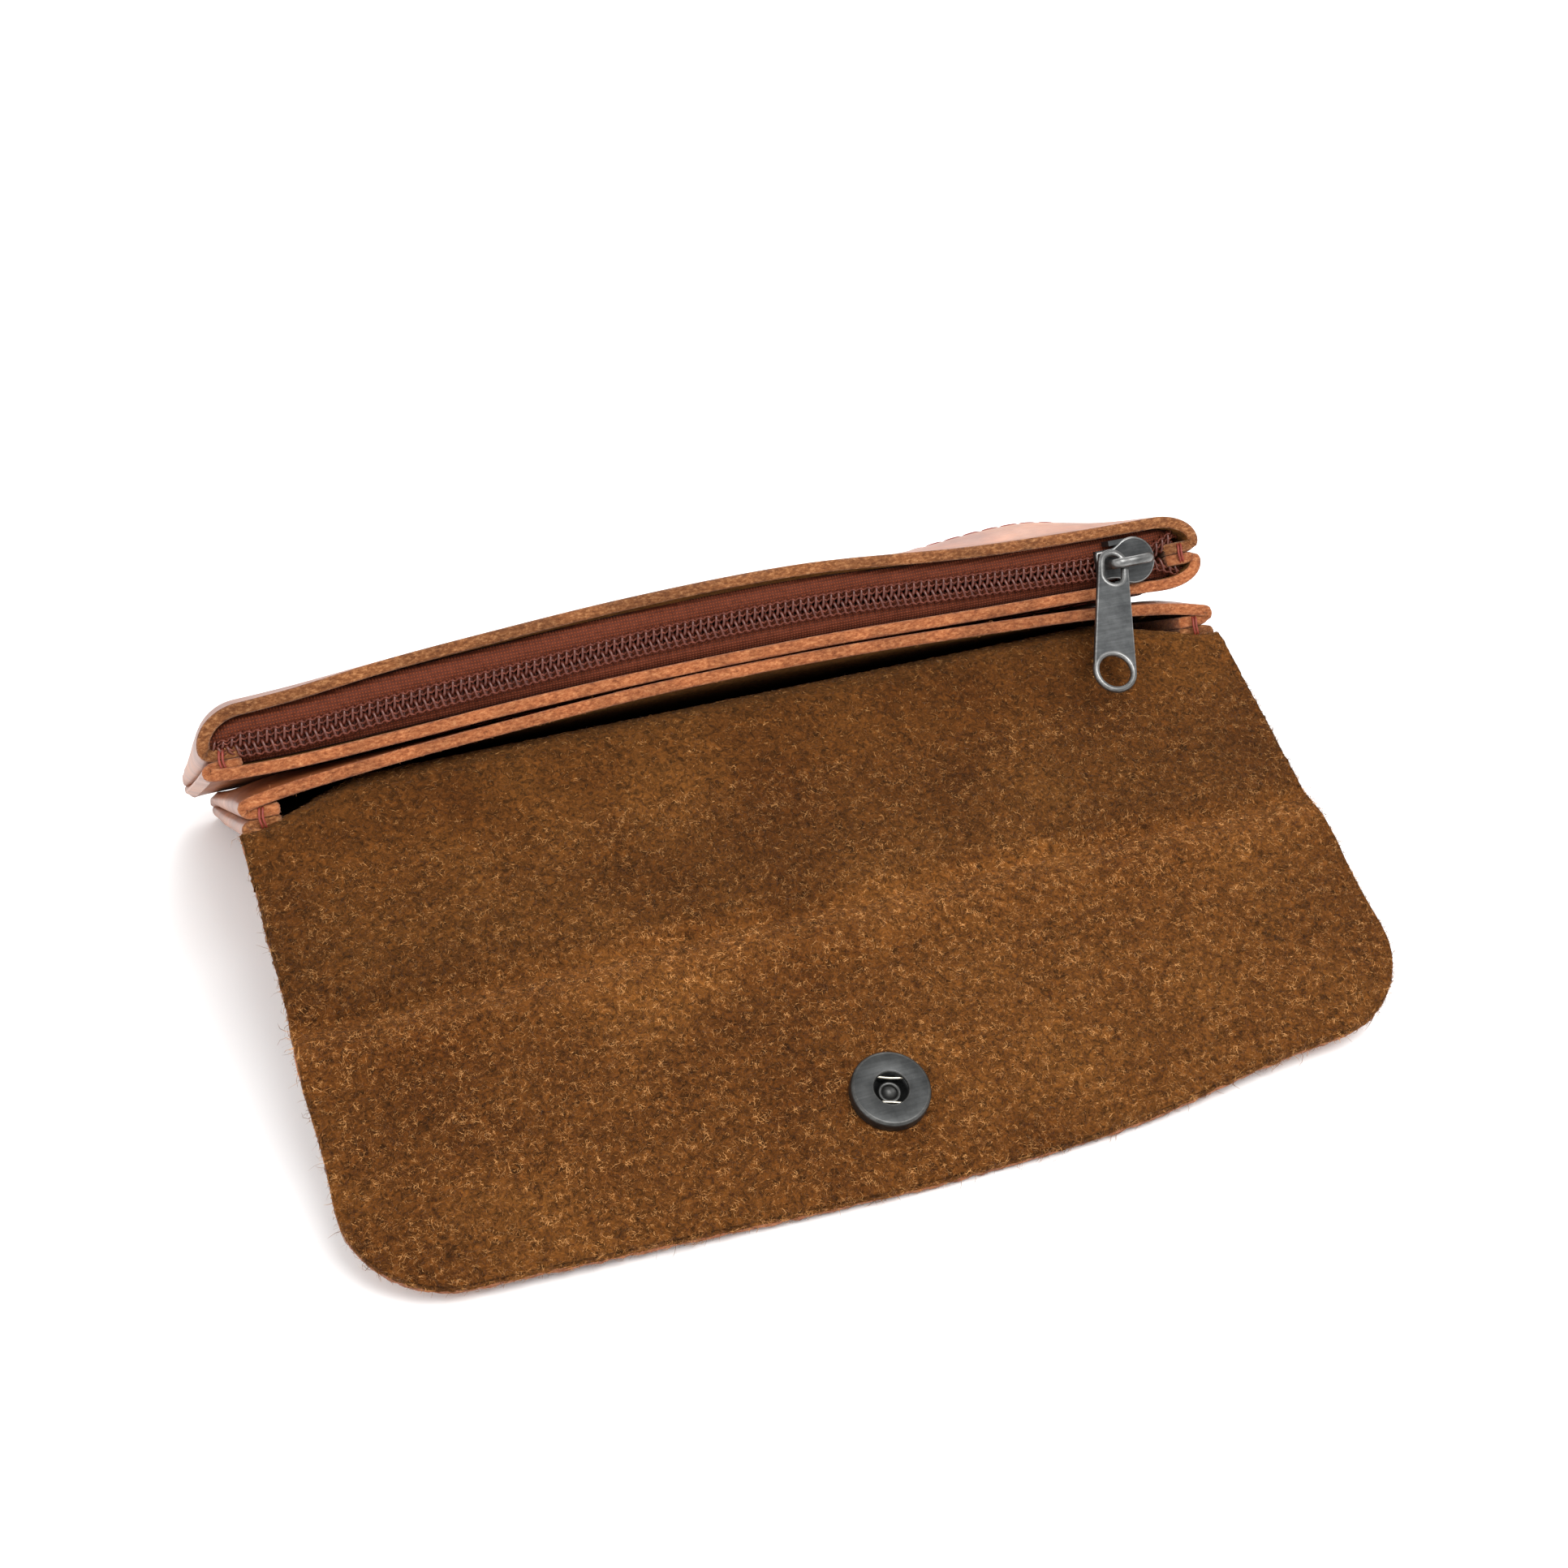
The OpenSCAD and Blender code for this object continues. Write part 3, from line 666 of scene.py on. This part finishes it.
def from_mouth(heights, mouth, bottom):
    """A layer's middle that follows the drawn mouth and eases into the CAD's plain slope."""
    def height(x, depth):
        fade = np.clip(1 - depth / 32, 0, 1) ** 2
        return layer(mouth, bottom, depth) + (curve_through(MOUTH_X, heights, x) - mouth) * fade
    return height


def bulging(height):
    """The zip pouch's front swells behind its lip towards the slider's end."""
    def raised(x, depth):
        side = np.where(x < 60, 27, 17)
        swell = 4.6 * np.exp(-((x - 60) / side) ** 2) * np.exp(-((depth - 13) / 9) ** 2)
        low = 1.5 * np.exp(-((x + 45) / 30) ** 2) * np.exp(-((depth - 30) / 18) ** 2)
        return height(x, depth) + (swell + low) * np.clip(depth / 4, 0, 1)
    return raised


def seam_height(left, right, bottom):
    """Height of the side seams: one value at each end of the mouth, running to the bottom seam."""
    def height(end, depth):
        start = left if end < 0 else right
        return start + (bottom - start) * (depth / DEPTH) ** 0.9
    return height


def near_bottom(depth):
    """0 in the body of a pouch, rising to 1 at the bottom seam."""
    return np.clip((depth - (DEPTH - BOTTOM_TURN)) / BOTTOM_TURN, 0, 1)


def pressed(depth):
    """How far the bottom seam presses each leather into the other."""
    return 0.55 * near_bottom(depth)


def openness(depth):
    """The share of its height that a leather keeps as it closes on the bottom seam."""
    return np.sqrt(np.clip(1 - near_bottom(depth) ** 2, 0.004, 1))


def end_path(end, place, turn, tight, level, seam, side, depth):
    """Half of a turned sheet's cross-section, from its seam allowance round to its face, as (x, height)."""
    half = HIDE / 2
    closing = openness(depth)
    seam_at = seam(end, depth) + side * (half - pressed(depth))
    tight = tight * closing
    straight = np.linspace(ALLOWANCE, half + 1.4, 5)[:-1]
    small = np.radians(np.linspace(0, 90, 7))[:-1]
    large = np.radians(crowded(0, 90, 14, 0.4))
    across = np.concatenate([straight, half + 1.4 * (1 - np.sin(small)), half + turn * (1 - np.cos(large))])
    x = place - end * across
    low = seam_at + side * tight
    face = seam_at + (level(x[-14:], depth) - seam_at) * closing
    up = np.concatenate([np.full(4, seam_at), seam_at + side * tight * (1 - np.cos(small)),
                         low + (face - low) * np.sin(large)])
    return x, up


def turned_sheet(name, level, seam, side, ends, turns, slots, seed, tight=1.2, start=0.0):
    """One leather of a turned pouch: seam allowances inside, round sides and the face between them."""
    depths = start + np.concatenate([[0, 0.4, 0.9, 1.6, 2.6, 4], np.arange(6, DEPTH - 8 - start, 2.2),
                                     DEPTH - start - 6.5 * (1 - np.sin(np.radians(np.linspace(0, 90, 9))))])
    rows = []
    for depth in depths:
        left_x, left_up = end_path(-1, ends[0], turns[0], tight, level, seam, side, depth)
        right_x, right_up = end_path(1, ends[1], turns[1], tight, level, seam, side, depth)
        face_x = np.linspace(left_x[-1], right_x[-1], 150)[1:-1]
        middle = (seam(-1, depth) + seam(1, depth)) / 2 + side * (HIDE / 2 - pressed(depth))
        face_up = middle + (level(face_x, depth) - middle) * openness(depth)
        x = np.concatenate([left_x, face_x, right_x[::-1]])
        up = np.concatenate([left_up, face_up, right_up[::-1]])
        tucked = np.zeros(len(x))
        tucked[:8] = tucked[-8:] = 0.9
        wander = 0.3 * wobble(x, up, 30, seed) * max(0.0, 1 - depth / 12)
        rows.append(pouch(x, depth + (wander + tucked) * max(0.0, 1 - depth / 20), up))
    return hide(name, np.array(rows), slots, flip=side, seed=seed)


ZIP_ENDS = (-99.2, 94.0)  # left and right ends of the zip pouch
POCKET_ENDS = (-94.6, 94.6)  # and of the front pocket
pocket_seam = seam_height(3.2, 3.0, 1.4)
zip_seam = seam_height(14.2, 17.6, 6.8)
pocket_level = from_mouth(POCKET_LIP, 9.5, 2.8)
lower_level = from_mouth(LOWER_LIP, 12.1, 5.4)
upper_level = bulging(from_mouth(UPPER_LIP, 23.9, 8.2))


def back_level(x, depth):
    """The back lies flat; heights are measured from its middle."""
    return 0 * x + 0 * depth


back_hide = turned_sheet("back_hide", back_level, pocket_seam, -1, POCKET_ENDS, (5, 5),
                         [GRAIN, SUEDE, RAW_TAN], tight=0.5, start=0.3, seed=21)
pocket_front = turned_sheet("pocket_front_hide", pocket_level, pocket_seam, 1, POCKET_ENDS, (13, 10),
                            [GRAIN, SUEDE, RAW_ORANGE], seed=22)
lower_lip = turned_sheet("zip_back_hide", lower_level, zip_seam, -1, ZIP_ENDS, (5, 9),
                         [GRAIN, SUEDE, RAW_ORANGE], tight=0.7, seed=23)
upper_lip = turned_sheet("zip_front_hide", upper_level, zip_seam, 1, ZIP_ENDS, (7, 8),
                         [GRAIN, SUEDE, RAW_TAN], seed=24)

# ------ zip
ZIP_SPAN = (-96.5, 90.5)  # the coils' two ends
COIL_PITCH = 1.5
WEB_DEPTH = 2.5  # how deep behind the mouth the tapes lie
CHAIN_OPENS = 82.0  # the chain is parted beyond this place


def inside_lip(x, level, side):
    """Height of a lip's inner face, drawn in where the zip pouch's ends are round."""
    seam_at = np.where(x < 0, zip_seam(-1, 0), zip_seam(1, 0)) + side * HIDE / 2
    turn = np.where(x < 0, 7, 8)
    near = np.minimum(x - ZIP_ENDS[0], ZIP_ENDS[1] - x) - HIDE / 2
    drawn = np.sqrt(np.clip(1 - np.clip(1 - near / turn, 0, 1) ** 2, 0.02, 1))
    return seam_at + (level(x, 0) - seam_at) * drawn - side * HIDE / 2


def chain_centre(x):
    """Height of the zip's middle line, kept between the two lips."""
    centre = curve_through(MOUTH_X, ZIP_CENTRE, x)
    high = inside_lip(x, upper_level, 1)
    low = inside_lip(x, lower_level, -1)
    return np.clip(centre, low + 2.2, high - 2.2)


def parting(x):
    """How far each side leaves the middle line beyond the slider."""
    return 3.0 * np.clip((x - CHAIN_OPENS) / 8.5, 0, 1) ** 1.6


def zip_tape(name, side):
    level = upper_level if side > 0 else lower_level
    x = crowded(ZIP_SPAN[0] - 1.2, ZIP_SPAN[1] + 1.0, 240, 0.4)[:, None]
    centre = chain_centre(x) + side * parting(x)
    face = inside_lip(x, level, side) - side * 0.35
    room = np.abs(face - centre)
    share = np.array([0.12, 0.3, 0.5, 0.7, 0.84, 0.93, 0.985, 1, 1, 1, 1])[None, :]
    depth = WEB_DEPTH + np.array([0.1, 0, 0, 0.05, 0.15, 0.4, 0.9, 1.7, 3.5, 6, 9])[None, :]
    slope = (level(x, depth) - level(x, 0)) * (share >= 0.98)
    up = centre + side * room * share + slope
    depth = depth + 0.10 * wobble(x, up, 9, 31 + side) + 0.25 * parting(x)
    return hide(name, pouch(x + 0 * up, depth, up), [TAPE] * 3, thickness=0.6, ragged=0.02)


def narrowing(x):
    """The chain's width as a share, narrower where it starts."""
    return np.clip((x - ZIP_SPAN[0]) / 5, 0.55, 1)


def zip_coil(name, side):
    """One side's monofilament, a flattened helix whose heads cross the middle line."""
    turns = int((ZIP_SPAN[1] - ZIP_SPAN[0]) / COIL_PITCH)
    angle = np.linspace(0, 2 * math.pi * turns, turns * 14)
    x = ZIP_SPAN[0] + COIL_PITCH * (angle / (2 * math.pi) + (0.5 if side < 0 else 0))
    head = np.cos(angle)
    lateral = 1.05 - 1.35 * head
    up = chain_centre(x) + side * (lateral * narrowing(x) + parting(x))
    depth = 1.55 - 0.75 * np.sin(angle) + 0.35 * parting(x)
    radius = 0.27 + 0.11 * np.clip(head - 0.6, 0, 1) / 0.4
    verts, faces = tube(pouch(x, depth, up), radius, sides=7)
    return piece(name, verts, faces, [COIL])


def chain_stitch(name, side):
    """Two beaded rows of thread that hold a coil on its tape."""
    rows = []
    for across in (1.0, 1.95):
        x = np.arange(ZIP_SPAN[0] + 1, ZIP_SPAN[1] - 0.8, COIL_PITCH / 7)
        beat = 2 * math.pi * (x - ZIP_SPAN[0]) / COIL_PITCH + (math.pi if side < 0 else 0) + 0.4
        up = chain_centre(x) + side * (across * narrowing(x) + parting(x)) + 0.16 * np.sin(beat)
        depth = 0.62 + 0.34 * (1 + np.cos(beat)) + 0.35 * parting(x)
        rows.append(tube(pouch(x, depth, up), 0.17, sides=6))
    verts, faces = merged(rows)
    return piece(name, verts, faces, [SEWING])


tapes = {1: zip_tape("zip_tape_upper_weave", 1), -1: zip_tape("zip_tape_lower_weave", -1)}
coils = {1: zip_coil("zip_coil_upper_wire", 1), -1: zip_coil("zip_coil_lower_wire", -1)}
beads = [chain_stitch("coil_stitch_upper", 1), chain_stitch("coil_stitch_lower", -1)]

# ------ seam threads
STITCH_PITCH = 4.0
SEAM_START = 5  # depth of a side seam's first stitch
SEAM_IN = 4.2  # how far a side seam lies inside the pouch's end

def smooth_path(corners, count):
    """A smooth path through a few corner points."""
    corners = np.array(corners, float)
    along = np.concatenate([[0], np.cumsum(np.linalg.norm(np.diff(corners, axis=0), axis=1))])
    where = np.linspace(0, along[-1], count)
    return np.stack([curve_through(along, corners[:, k], where) for k in range(corners.shape[1])], -1)


def stitch(start, end, up):
    """One stitch that rises out of its hole, lies on the leather and dips again."""
    t = np.linspace(0, 1, 9)[:, None]
    lift = up * (0.14 * np.sin(math.pi * t) ** 0.5 - 0.14)
    return tube(start + (end - start) * t + lift, 0.22, sides=7)


def row_on_lip(level, side):
    """The row that sews a tape to its lip, on the lip's outer face."""
    depth = 10.5
    rows = []
    for x in np.arange(-86.0, 84.0, STITCH_PITCH):
        ends = []
        for place in (x, x + 3.3):
            up = float(level(np.array([place]), depth)[0]) + side * HIDE / 2
            ends.append(pouch(place, depth + 0.12 * math.sin(place), up))
        rows.append(stitch(ends[0], ends[1], POUCH_UP * side))
    return rows


def seam_rows(seam, ends):
    """Stitches between two seam allowances, with the thread's end looped over them at the mouth."""
    rows = []
    for end, place in ((-1, ends[0]), (1, ends[1])):
        x = place - end * SEAM_IN
        for depth in np.arange(SEAM_START, DEPTH - 12, STITCH_PITCH):
            low, high = (pouch(x, d, seam(end, d)) for d in (depth, depth + 3.2))
            rows.append(tube(np.linspace(low, high, 4), 0.3, sides=6))
        at = seam(end, 0.5)
        loop = [(x, 2.6, at + 1.9), (x, 0.7, at + 1.6), (x - 0.3, 0.3, at), (x, 0.7, at - 1.6),
                (x, 2.6, at - 1.9)]
        for shift in (0, 0.6 * end):
            path = smooth_path([pouch(a + shift, b, c) for a, b, c in loop], 14)
            rows.append(tube(path, 0.22, sides=7))
    return rows


def thread_piece(name, rows):
    verts, faces = merged(rows)
    return piece(name, verts, faces, [RED_THREAD])


pocket_thread = thread_piece("pocket_seam_stitches", seam_rows(pocket_seam, POCKET_ENDS))
pouch_thread = thread_piece("zip_seam_stitches", seam_rows(zip_seam, ZIP_ENDS))
lip_rows = row_on_lip(upper_level, 1) + row_on_lip(lower_level, -1)
lip_thread = thread_piece("zip_tape_stitches", lip_rows)

# ------ slider
facing = frame_matrix(pouch(SLIDER_X, -0.5, ZIP_MID), RIGHT, POUCH_UP, -POUCH_IN)
head = round_outline((1.6, 0), 4.5, -126, 126, 40)
slider_outline = [(-6.1, -2.3), (-5.8, -2.75), (-3.4, -2.8), (-2.2, -3.0), *head,
                  (-2.2, 3.0), (-3.4, 2.8), (-5.8, 2.75), (-6.1, 2.3)]
slider_top = flat_plate("slider_top_plate", [slider_outline], 1.3, 0.35, facing, [NICKEL, NICKEL_WORN])
bar_path = smooth_path([pouch(x, depth, ZIP_MID) for x, depth in (
    (BRIDGE_X, -0.8), (BRIDGE_X, -2.6), (BRIDGE_X + 0.1, -4.0), (BRIDGE_X + 0.9, -4.95),
    (BRIDGE_X + 2.6, -5.1), (SLIDER_X + 1.8, -4.95), (SLIDER_X + 3.6, -4.1),
    (SLIDER_X + 4.6, -2.6), (SLIDER_X + 4.7, -0.8))], 40)
bar = piece("slider_bridge_bar", *tube(bar_path, 0.92, sides=16, flat=0.58, up=-POUCH_IN), [NICKEL_WORN])

TAB_HANG = math.radians(19)  # the tab hangs this far sideways from square
HANG_AXIS = (-0.126, 0.937, -0.324)  # it turns about this line: right, in, up
tab_axis = Vector(HANG_AXIS[0] * RIGHT + HANG_AXIS[1] * POUCH_IN + HANG_AXIS[2] * POUCH_UP)
tab_up = math.sin(TAB_LEAN) * POUCH_IN + math.cos(TAB_LEAN) * POUCH_UP
tab_turn = Matrix.Rotation(TAB_HANG, 3, tab_axis)
tab_axes = [tab_turn @ Vector(axis) for axis in (RIGHT, tab_up, np.cross(RIGHT, tab_up))]
tab_facing = frame_matrix(pouch(BRIDGE_X, TAB_OUT, ZIP_MID), *tab_axes)
TAB_END = 4.2  # radius of the tab's round end
TAB_HOLE = 3.2  # radius of the hole in it
TAB_REACH = 26.4  # from the turning point to the tip
EYE = 1.75  # radius of the eye round the bridge
EYE_DRAWN = 2.3  # how much longer than wide the eye is
end_y = TAB_END - TAB_REACH


def eye_shape(radius, count):
    return (round_outline((0, 0), radius, 0, 180, count)
            + round_outline((0, -EYE_DRAWN), radius, 180, 360, count))


tab_outline = round_outline((0, 0), 3.0, 3, 177, 24) + round_outline((0, end_y), TAB_END, 177, 363, 40)
tab_outlines = [tab_outline, eye_shape(EYE, 20), round_outline((0, end_y), TAB_HOLE)]
tab = flat_plate("pull_tab_plate", tab_outlines, 1.1, 0.28, tab_facing, [NICKEL, NICKEL_WORN])


def on_tab(outline):
    return np.array([np.array(tab_facing @ Vector((x * MM, y * MM, 0))) / MM for x, y in outline])


hole_ring = round_outline((0, end_y), TAB_HOLE + 0.5, count=56)
rims = merged([tube(on_tab(eye_shape(EYE + 0.55, 24)), 0.66, sides=12, closed=True),
               tube(on_tab(hole_ring), 0.62, sides=12, closed=True)])
tab_rims = piece("pull_tab_rims", *rims, [NICKEL_WORN])

# ------ snap button
snap_at = flap(*SNAP, 0.0) + FLAP_UP * float(flap_rise(np.array(SNAP[0]), np.array(SNAP[1])))
top = HIDE / 2  # the face of the leather that the socket sits on
socket_profile = [(0.0, top + 0.3), (1.3, top + 0.3), (1.3, top + 0.8), (1.45, top + 1.0),
                  (1.75, top + 1.05), (2.0, top + 0.9), (2.05, top + 0.4), (4.2, top + 0.3),
                  (4.3, top + 2.0), (3.0, top + 2.1), (2.9, top + 2.35), (3.0, top + 2.6),
                  (3.2, top + 2.7), (6.2, top + 2.65), (6.55, top + 2.55), (6.78, top + 2.25),
                  (6.8, top + 1.9), (6.8, top + 0.4), (6.5, top), (6.0, top - 0.2)]
socket_slots = [1] * 6 + [0] * 3 + [1] * 3 + [0] + [1] * 3 + [0] * 3  # worn (1) or plain (0) bands
socket = lathe("snap_socket_ring", socket_profile, snap_at, FLAP_UP,
               [GUNMETAL, GUNMETAL_WORN], socket_slots)
cap_profile = [(0.0, -2.35), (3.0, -2.3), (5.6, -2.05), (6.9, -1.75), (7.4, -1.45), (7.5, -1.2),
               (7.4, -1.05), (0.0, -1.0)]
cap = lathe("snap_cap_dome", cap_profile, snap_at, FLAP_UP, [GUNMETAL])
WIRE_TILT = math.radians(-18)
wire_along = RIGHT * math.cos(WIRE_TILT) - FLAP_DOWN * math.sin(WIRE_TILT)
wire_off = RIGHT * math.sin(WIRE_TILT) + FLAP_DOWN * math.cos(WIRE_TILT)
wires = []
for side in (-1, 1):
    t = np.linspace(-1, 1, 15)[:, None]
    centre = snap_at + FLAP_UP * (top + 1.7) + wire_off * side * (2.2 + 0.35 * t**2)
    wires.append(tube(centre + wire_along * 3.1 * t, 0.24, sides=10))
spring = piece("snap_spring_wires", *merged(wires), [WIRE])

FRONT_MOUTH, FRONT_BOTTOM = 25.0, 9.3  # heights of the zip pouch's outer face in the CAD
FRONT_SLOPE = math.atan((FRONT_MOUTH - FRONT_BOTTOM) / (DEPTH - LIP_FLAT))
stud_axis = math.sin(FRONT_SLOPE) * POUCH_IN + math.cos(FRONT_SLOPE) * POUCH_UP
stud_run = STUD_REACH - LIP_FLAT
stud_at = pouch(SNAP[0], LIP_FLAT + stud_run * math.cos(FRONT_SLOPE),
                FRONT_MOUTH - stud_run * math.sin(FRONT_SLOPE))
stud_profile = [(0.0, 0.6), (1.0, 0.6), (1.1, 3.0), (1.5, 3.3), (2.05, 3.3), (2.4, 3.05), (2.45, 2.75),
                (2.3, 2.3), (2.05, 1.9), (2.05, 1.1), (2.3, 0.85), (4.5, 0.75), (4.9, 0.55), (5.0, 0.2),
                (5.0, -0.3)]
stud = lathe("snap_stud_post", stud_profile, stud_at, stud_axis, [GUNMETAL_WORN])

# ------ nap and edge fuzz
nap_pieces = [
    (nap("fold_nap", fold_hide, 0, 22000, 1.5, 0.085, 64, NAP), "fold"),
    (nap("bend_nap", bend_hide, 0, 33000, 1.6, 0.085, 64, NAP), "bend"),
    (nap("leaf_nap_a", leaf_hide, 0, 31000, 1.6, 0.085, 64, NAP), "leaf"),
    (nap("leaf_nap_b", leaf_hide, 0, 31000, 1.4, 0.08, 58, NAP), "leaf"),
    (nap("leaf_nap_c", leaf_hide, 0, 31000, 2.0, 0.09, 70, NAP), "leaf"),
    (nap("leaf_nap_d", leaf_hide, 0, 25000, 1.5, 0.085, 62, NAP), "leaf"),
    (nap("fold_fuzz", fold_hide, 2, 1500, 0.5, 0.06, 45, FUZZ), "fold"),
    (nap("bend_fuzz", bend_hide, 2, 2500, 0.5, 0.06, 45, FUZZ), "bend"),
    (nap("leaf_fuzz", leaf_hide, 2, 9000, 0.5, 0.06, 45, FUZZ), "leaf"),
]
pocket_fuzz = nap("pocket_lip_fuzz", pocket_front, 2, 9000, 0.7, 0.07, 40, FUZZ)
lip_fuzz = [nap("lower_lip_fuzz", lower_lip, 2, 5000, 0.4, 0.06, 40, FUZZ),
            nap("upper_lip_fuzz", upper_lip, 2, 5000, 0.35, 0.06, 40, FUZZ)]

# ------ what each piece moves with
for thing in (back_hide, pocket_front, lower_lip, upper_lip, *tapes.values(), *coils.values(), *beads,
              pocket_thread, pouch_thread, lip_thread, stud, pocket_fuzz, *lip_fuzz):
    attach(thing, "pouch")
for thing in (socket, cap, spring):
    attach(thing, "flap_front_leaf")
for thing in (slider_top, bar):
    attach(thing, "zip_slider")
for thing in (tab, tab_rims):
    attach(thing, "zip_pull")


def at(where, *place):
    return (where(*place) * MM).tolist()


BENDS = {
    "fold": ("pouch", "flap_root_strip", at(pouch, 0, 4, 4), at(flap, 0, 3, 0)),
    "bend": ("flap_root_strip", "flap_middle_strip", at(flap, 0, STRIP - 5, 0), at(flap, 0, STRIP + 5, 0)),
    "leaf": ("flap_middle_strip", "flap_front_leaf", at(flap, 0, 2 * STRIP - 4, 0),
             at(flap, 0, 2 * STRIP + 4, 0)),
}
for thing, bend in [(fold_hide, "fold"), (bend_hide, "bend"), (leaf_hide, "leaf"), *nap_pieces]:
    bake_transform(thing)

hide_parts("back_panel")
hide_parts("flap_root")
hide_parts("flap_middle")
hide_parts("flap_front")
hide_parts("main_front_panel")
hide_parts("zip_back_panel")
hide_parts("zip_front_panel")
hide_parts("zip_tape_upper")
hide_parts("zip_tape_lower")
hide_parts("zip_coil_upper")
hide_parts("zip_coil_lower")
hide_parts("main_seam_thread")
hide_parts("zip_seam_thread")
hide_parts("zip_tape_thread")
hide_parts("slider_bridge")
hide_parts("pull_tab")
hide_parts("snap_socket")
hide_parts("snap_cap")
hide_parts("socket_spring")
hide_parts("snap_stud")
for node, material in (("slider_body", NICKEL), ("slider_lock_spring", WIRE), ("stud_rivet", GUNMETAL),
                       ("joining_thread", RED_THREAD)):
    slots = frame["nodes"][node].data.materials
    slots.clear()
    slots.append(material)

# ------ stage, light and camera
bpy.ops.mesh.primitive_plane_add(size=4, location=(0, 0, -0.0004))
floor = bpy.context.object
floor.name = "floor"
floor.data.materials.append(FLOOR)

scene = bpy.context.scene
scene.view_settings.view_transform = "Standard"
world = bpy.data.worlds.new("studio")
world.use_nodes = True
world.node_tree.nodes["Background"].inputs["Color"].default_value = (1, 1, 1, 1)
world.node_tree.nodes["Background"].inputs["Strength"].default_value = 1.0
scene.world = world


def softbox(name, place, size, power):
    """A square area light that looks at the wallet."""
    light = bpy.data.lights.new(name, "AREA")
    light.size = size
    light.energy = power
    lamp = bpy.data.objects.new(name, light)
    lamp.location = place
    lamp.rotation_euler = (Vector((0, 0, 0.02)) - Vector(place)).to_track_quat("-Z", "Y").to_euler()
    scene.collection.objects.link(lamp)


softbox("key", (0.15, -0.55, 0.9), 0.5, 7.6)
softbox("fill", (-0.75, -0.5, 0.6), 0.7, 3)
softbox("back", (0.35, 0.7, 0.5), 0.6, 4)

CAMERA_PLACE = (-117.5, -332.2, 248.4)  # millimetres
CAMERA_YAW, CAMERA_PITCH, CAMERA_ROLL = (math.radians(angle) for angle in (19.98, 31.75, -1.41))
CAMERA_LENS = 51.4
forward = Vector((math.sin(CAMERA_YAW) * math.cos(CAMERA_PITCH),
                  math.cos(CAMERA_YAW) * math.cos(CAMERA_PITCH),
                  -math.sin(CAMERA_PITCH)))
level_right = Vector((math.cos(CAMERA_YAW), -math.sin(CAMERA_YAW), 0))
level_up = level_right.cross(forward)
camera_right = level_right * math.cos(CAMERA_ROLL) + level_up * math.sin(CAMERA_ROLL)
lens = bpy.data.cameras.new("camera")
lens.lens = CAMERA_LENS
lens.clip_start = 0.01
camera = bpy.data.objects.new("camera", lens)
camera.matrix_world = frame_matrix(CAMERA_PLACE, camera_right, camera_right.cross(forward), -forward)
scene.collection.objects.link(camera)
scene.camera = camera
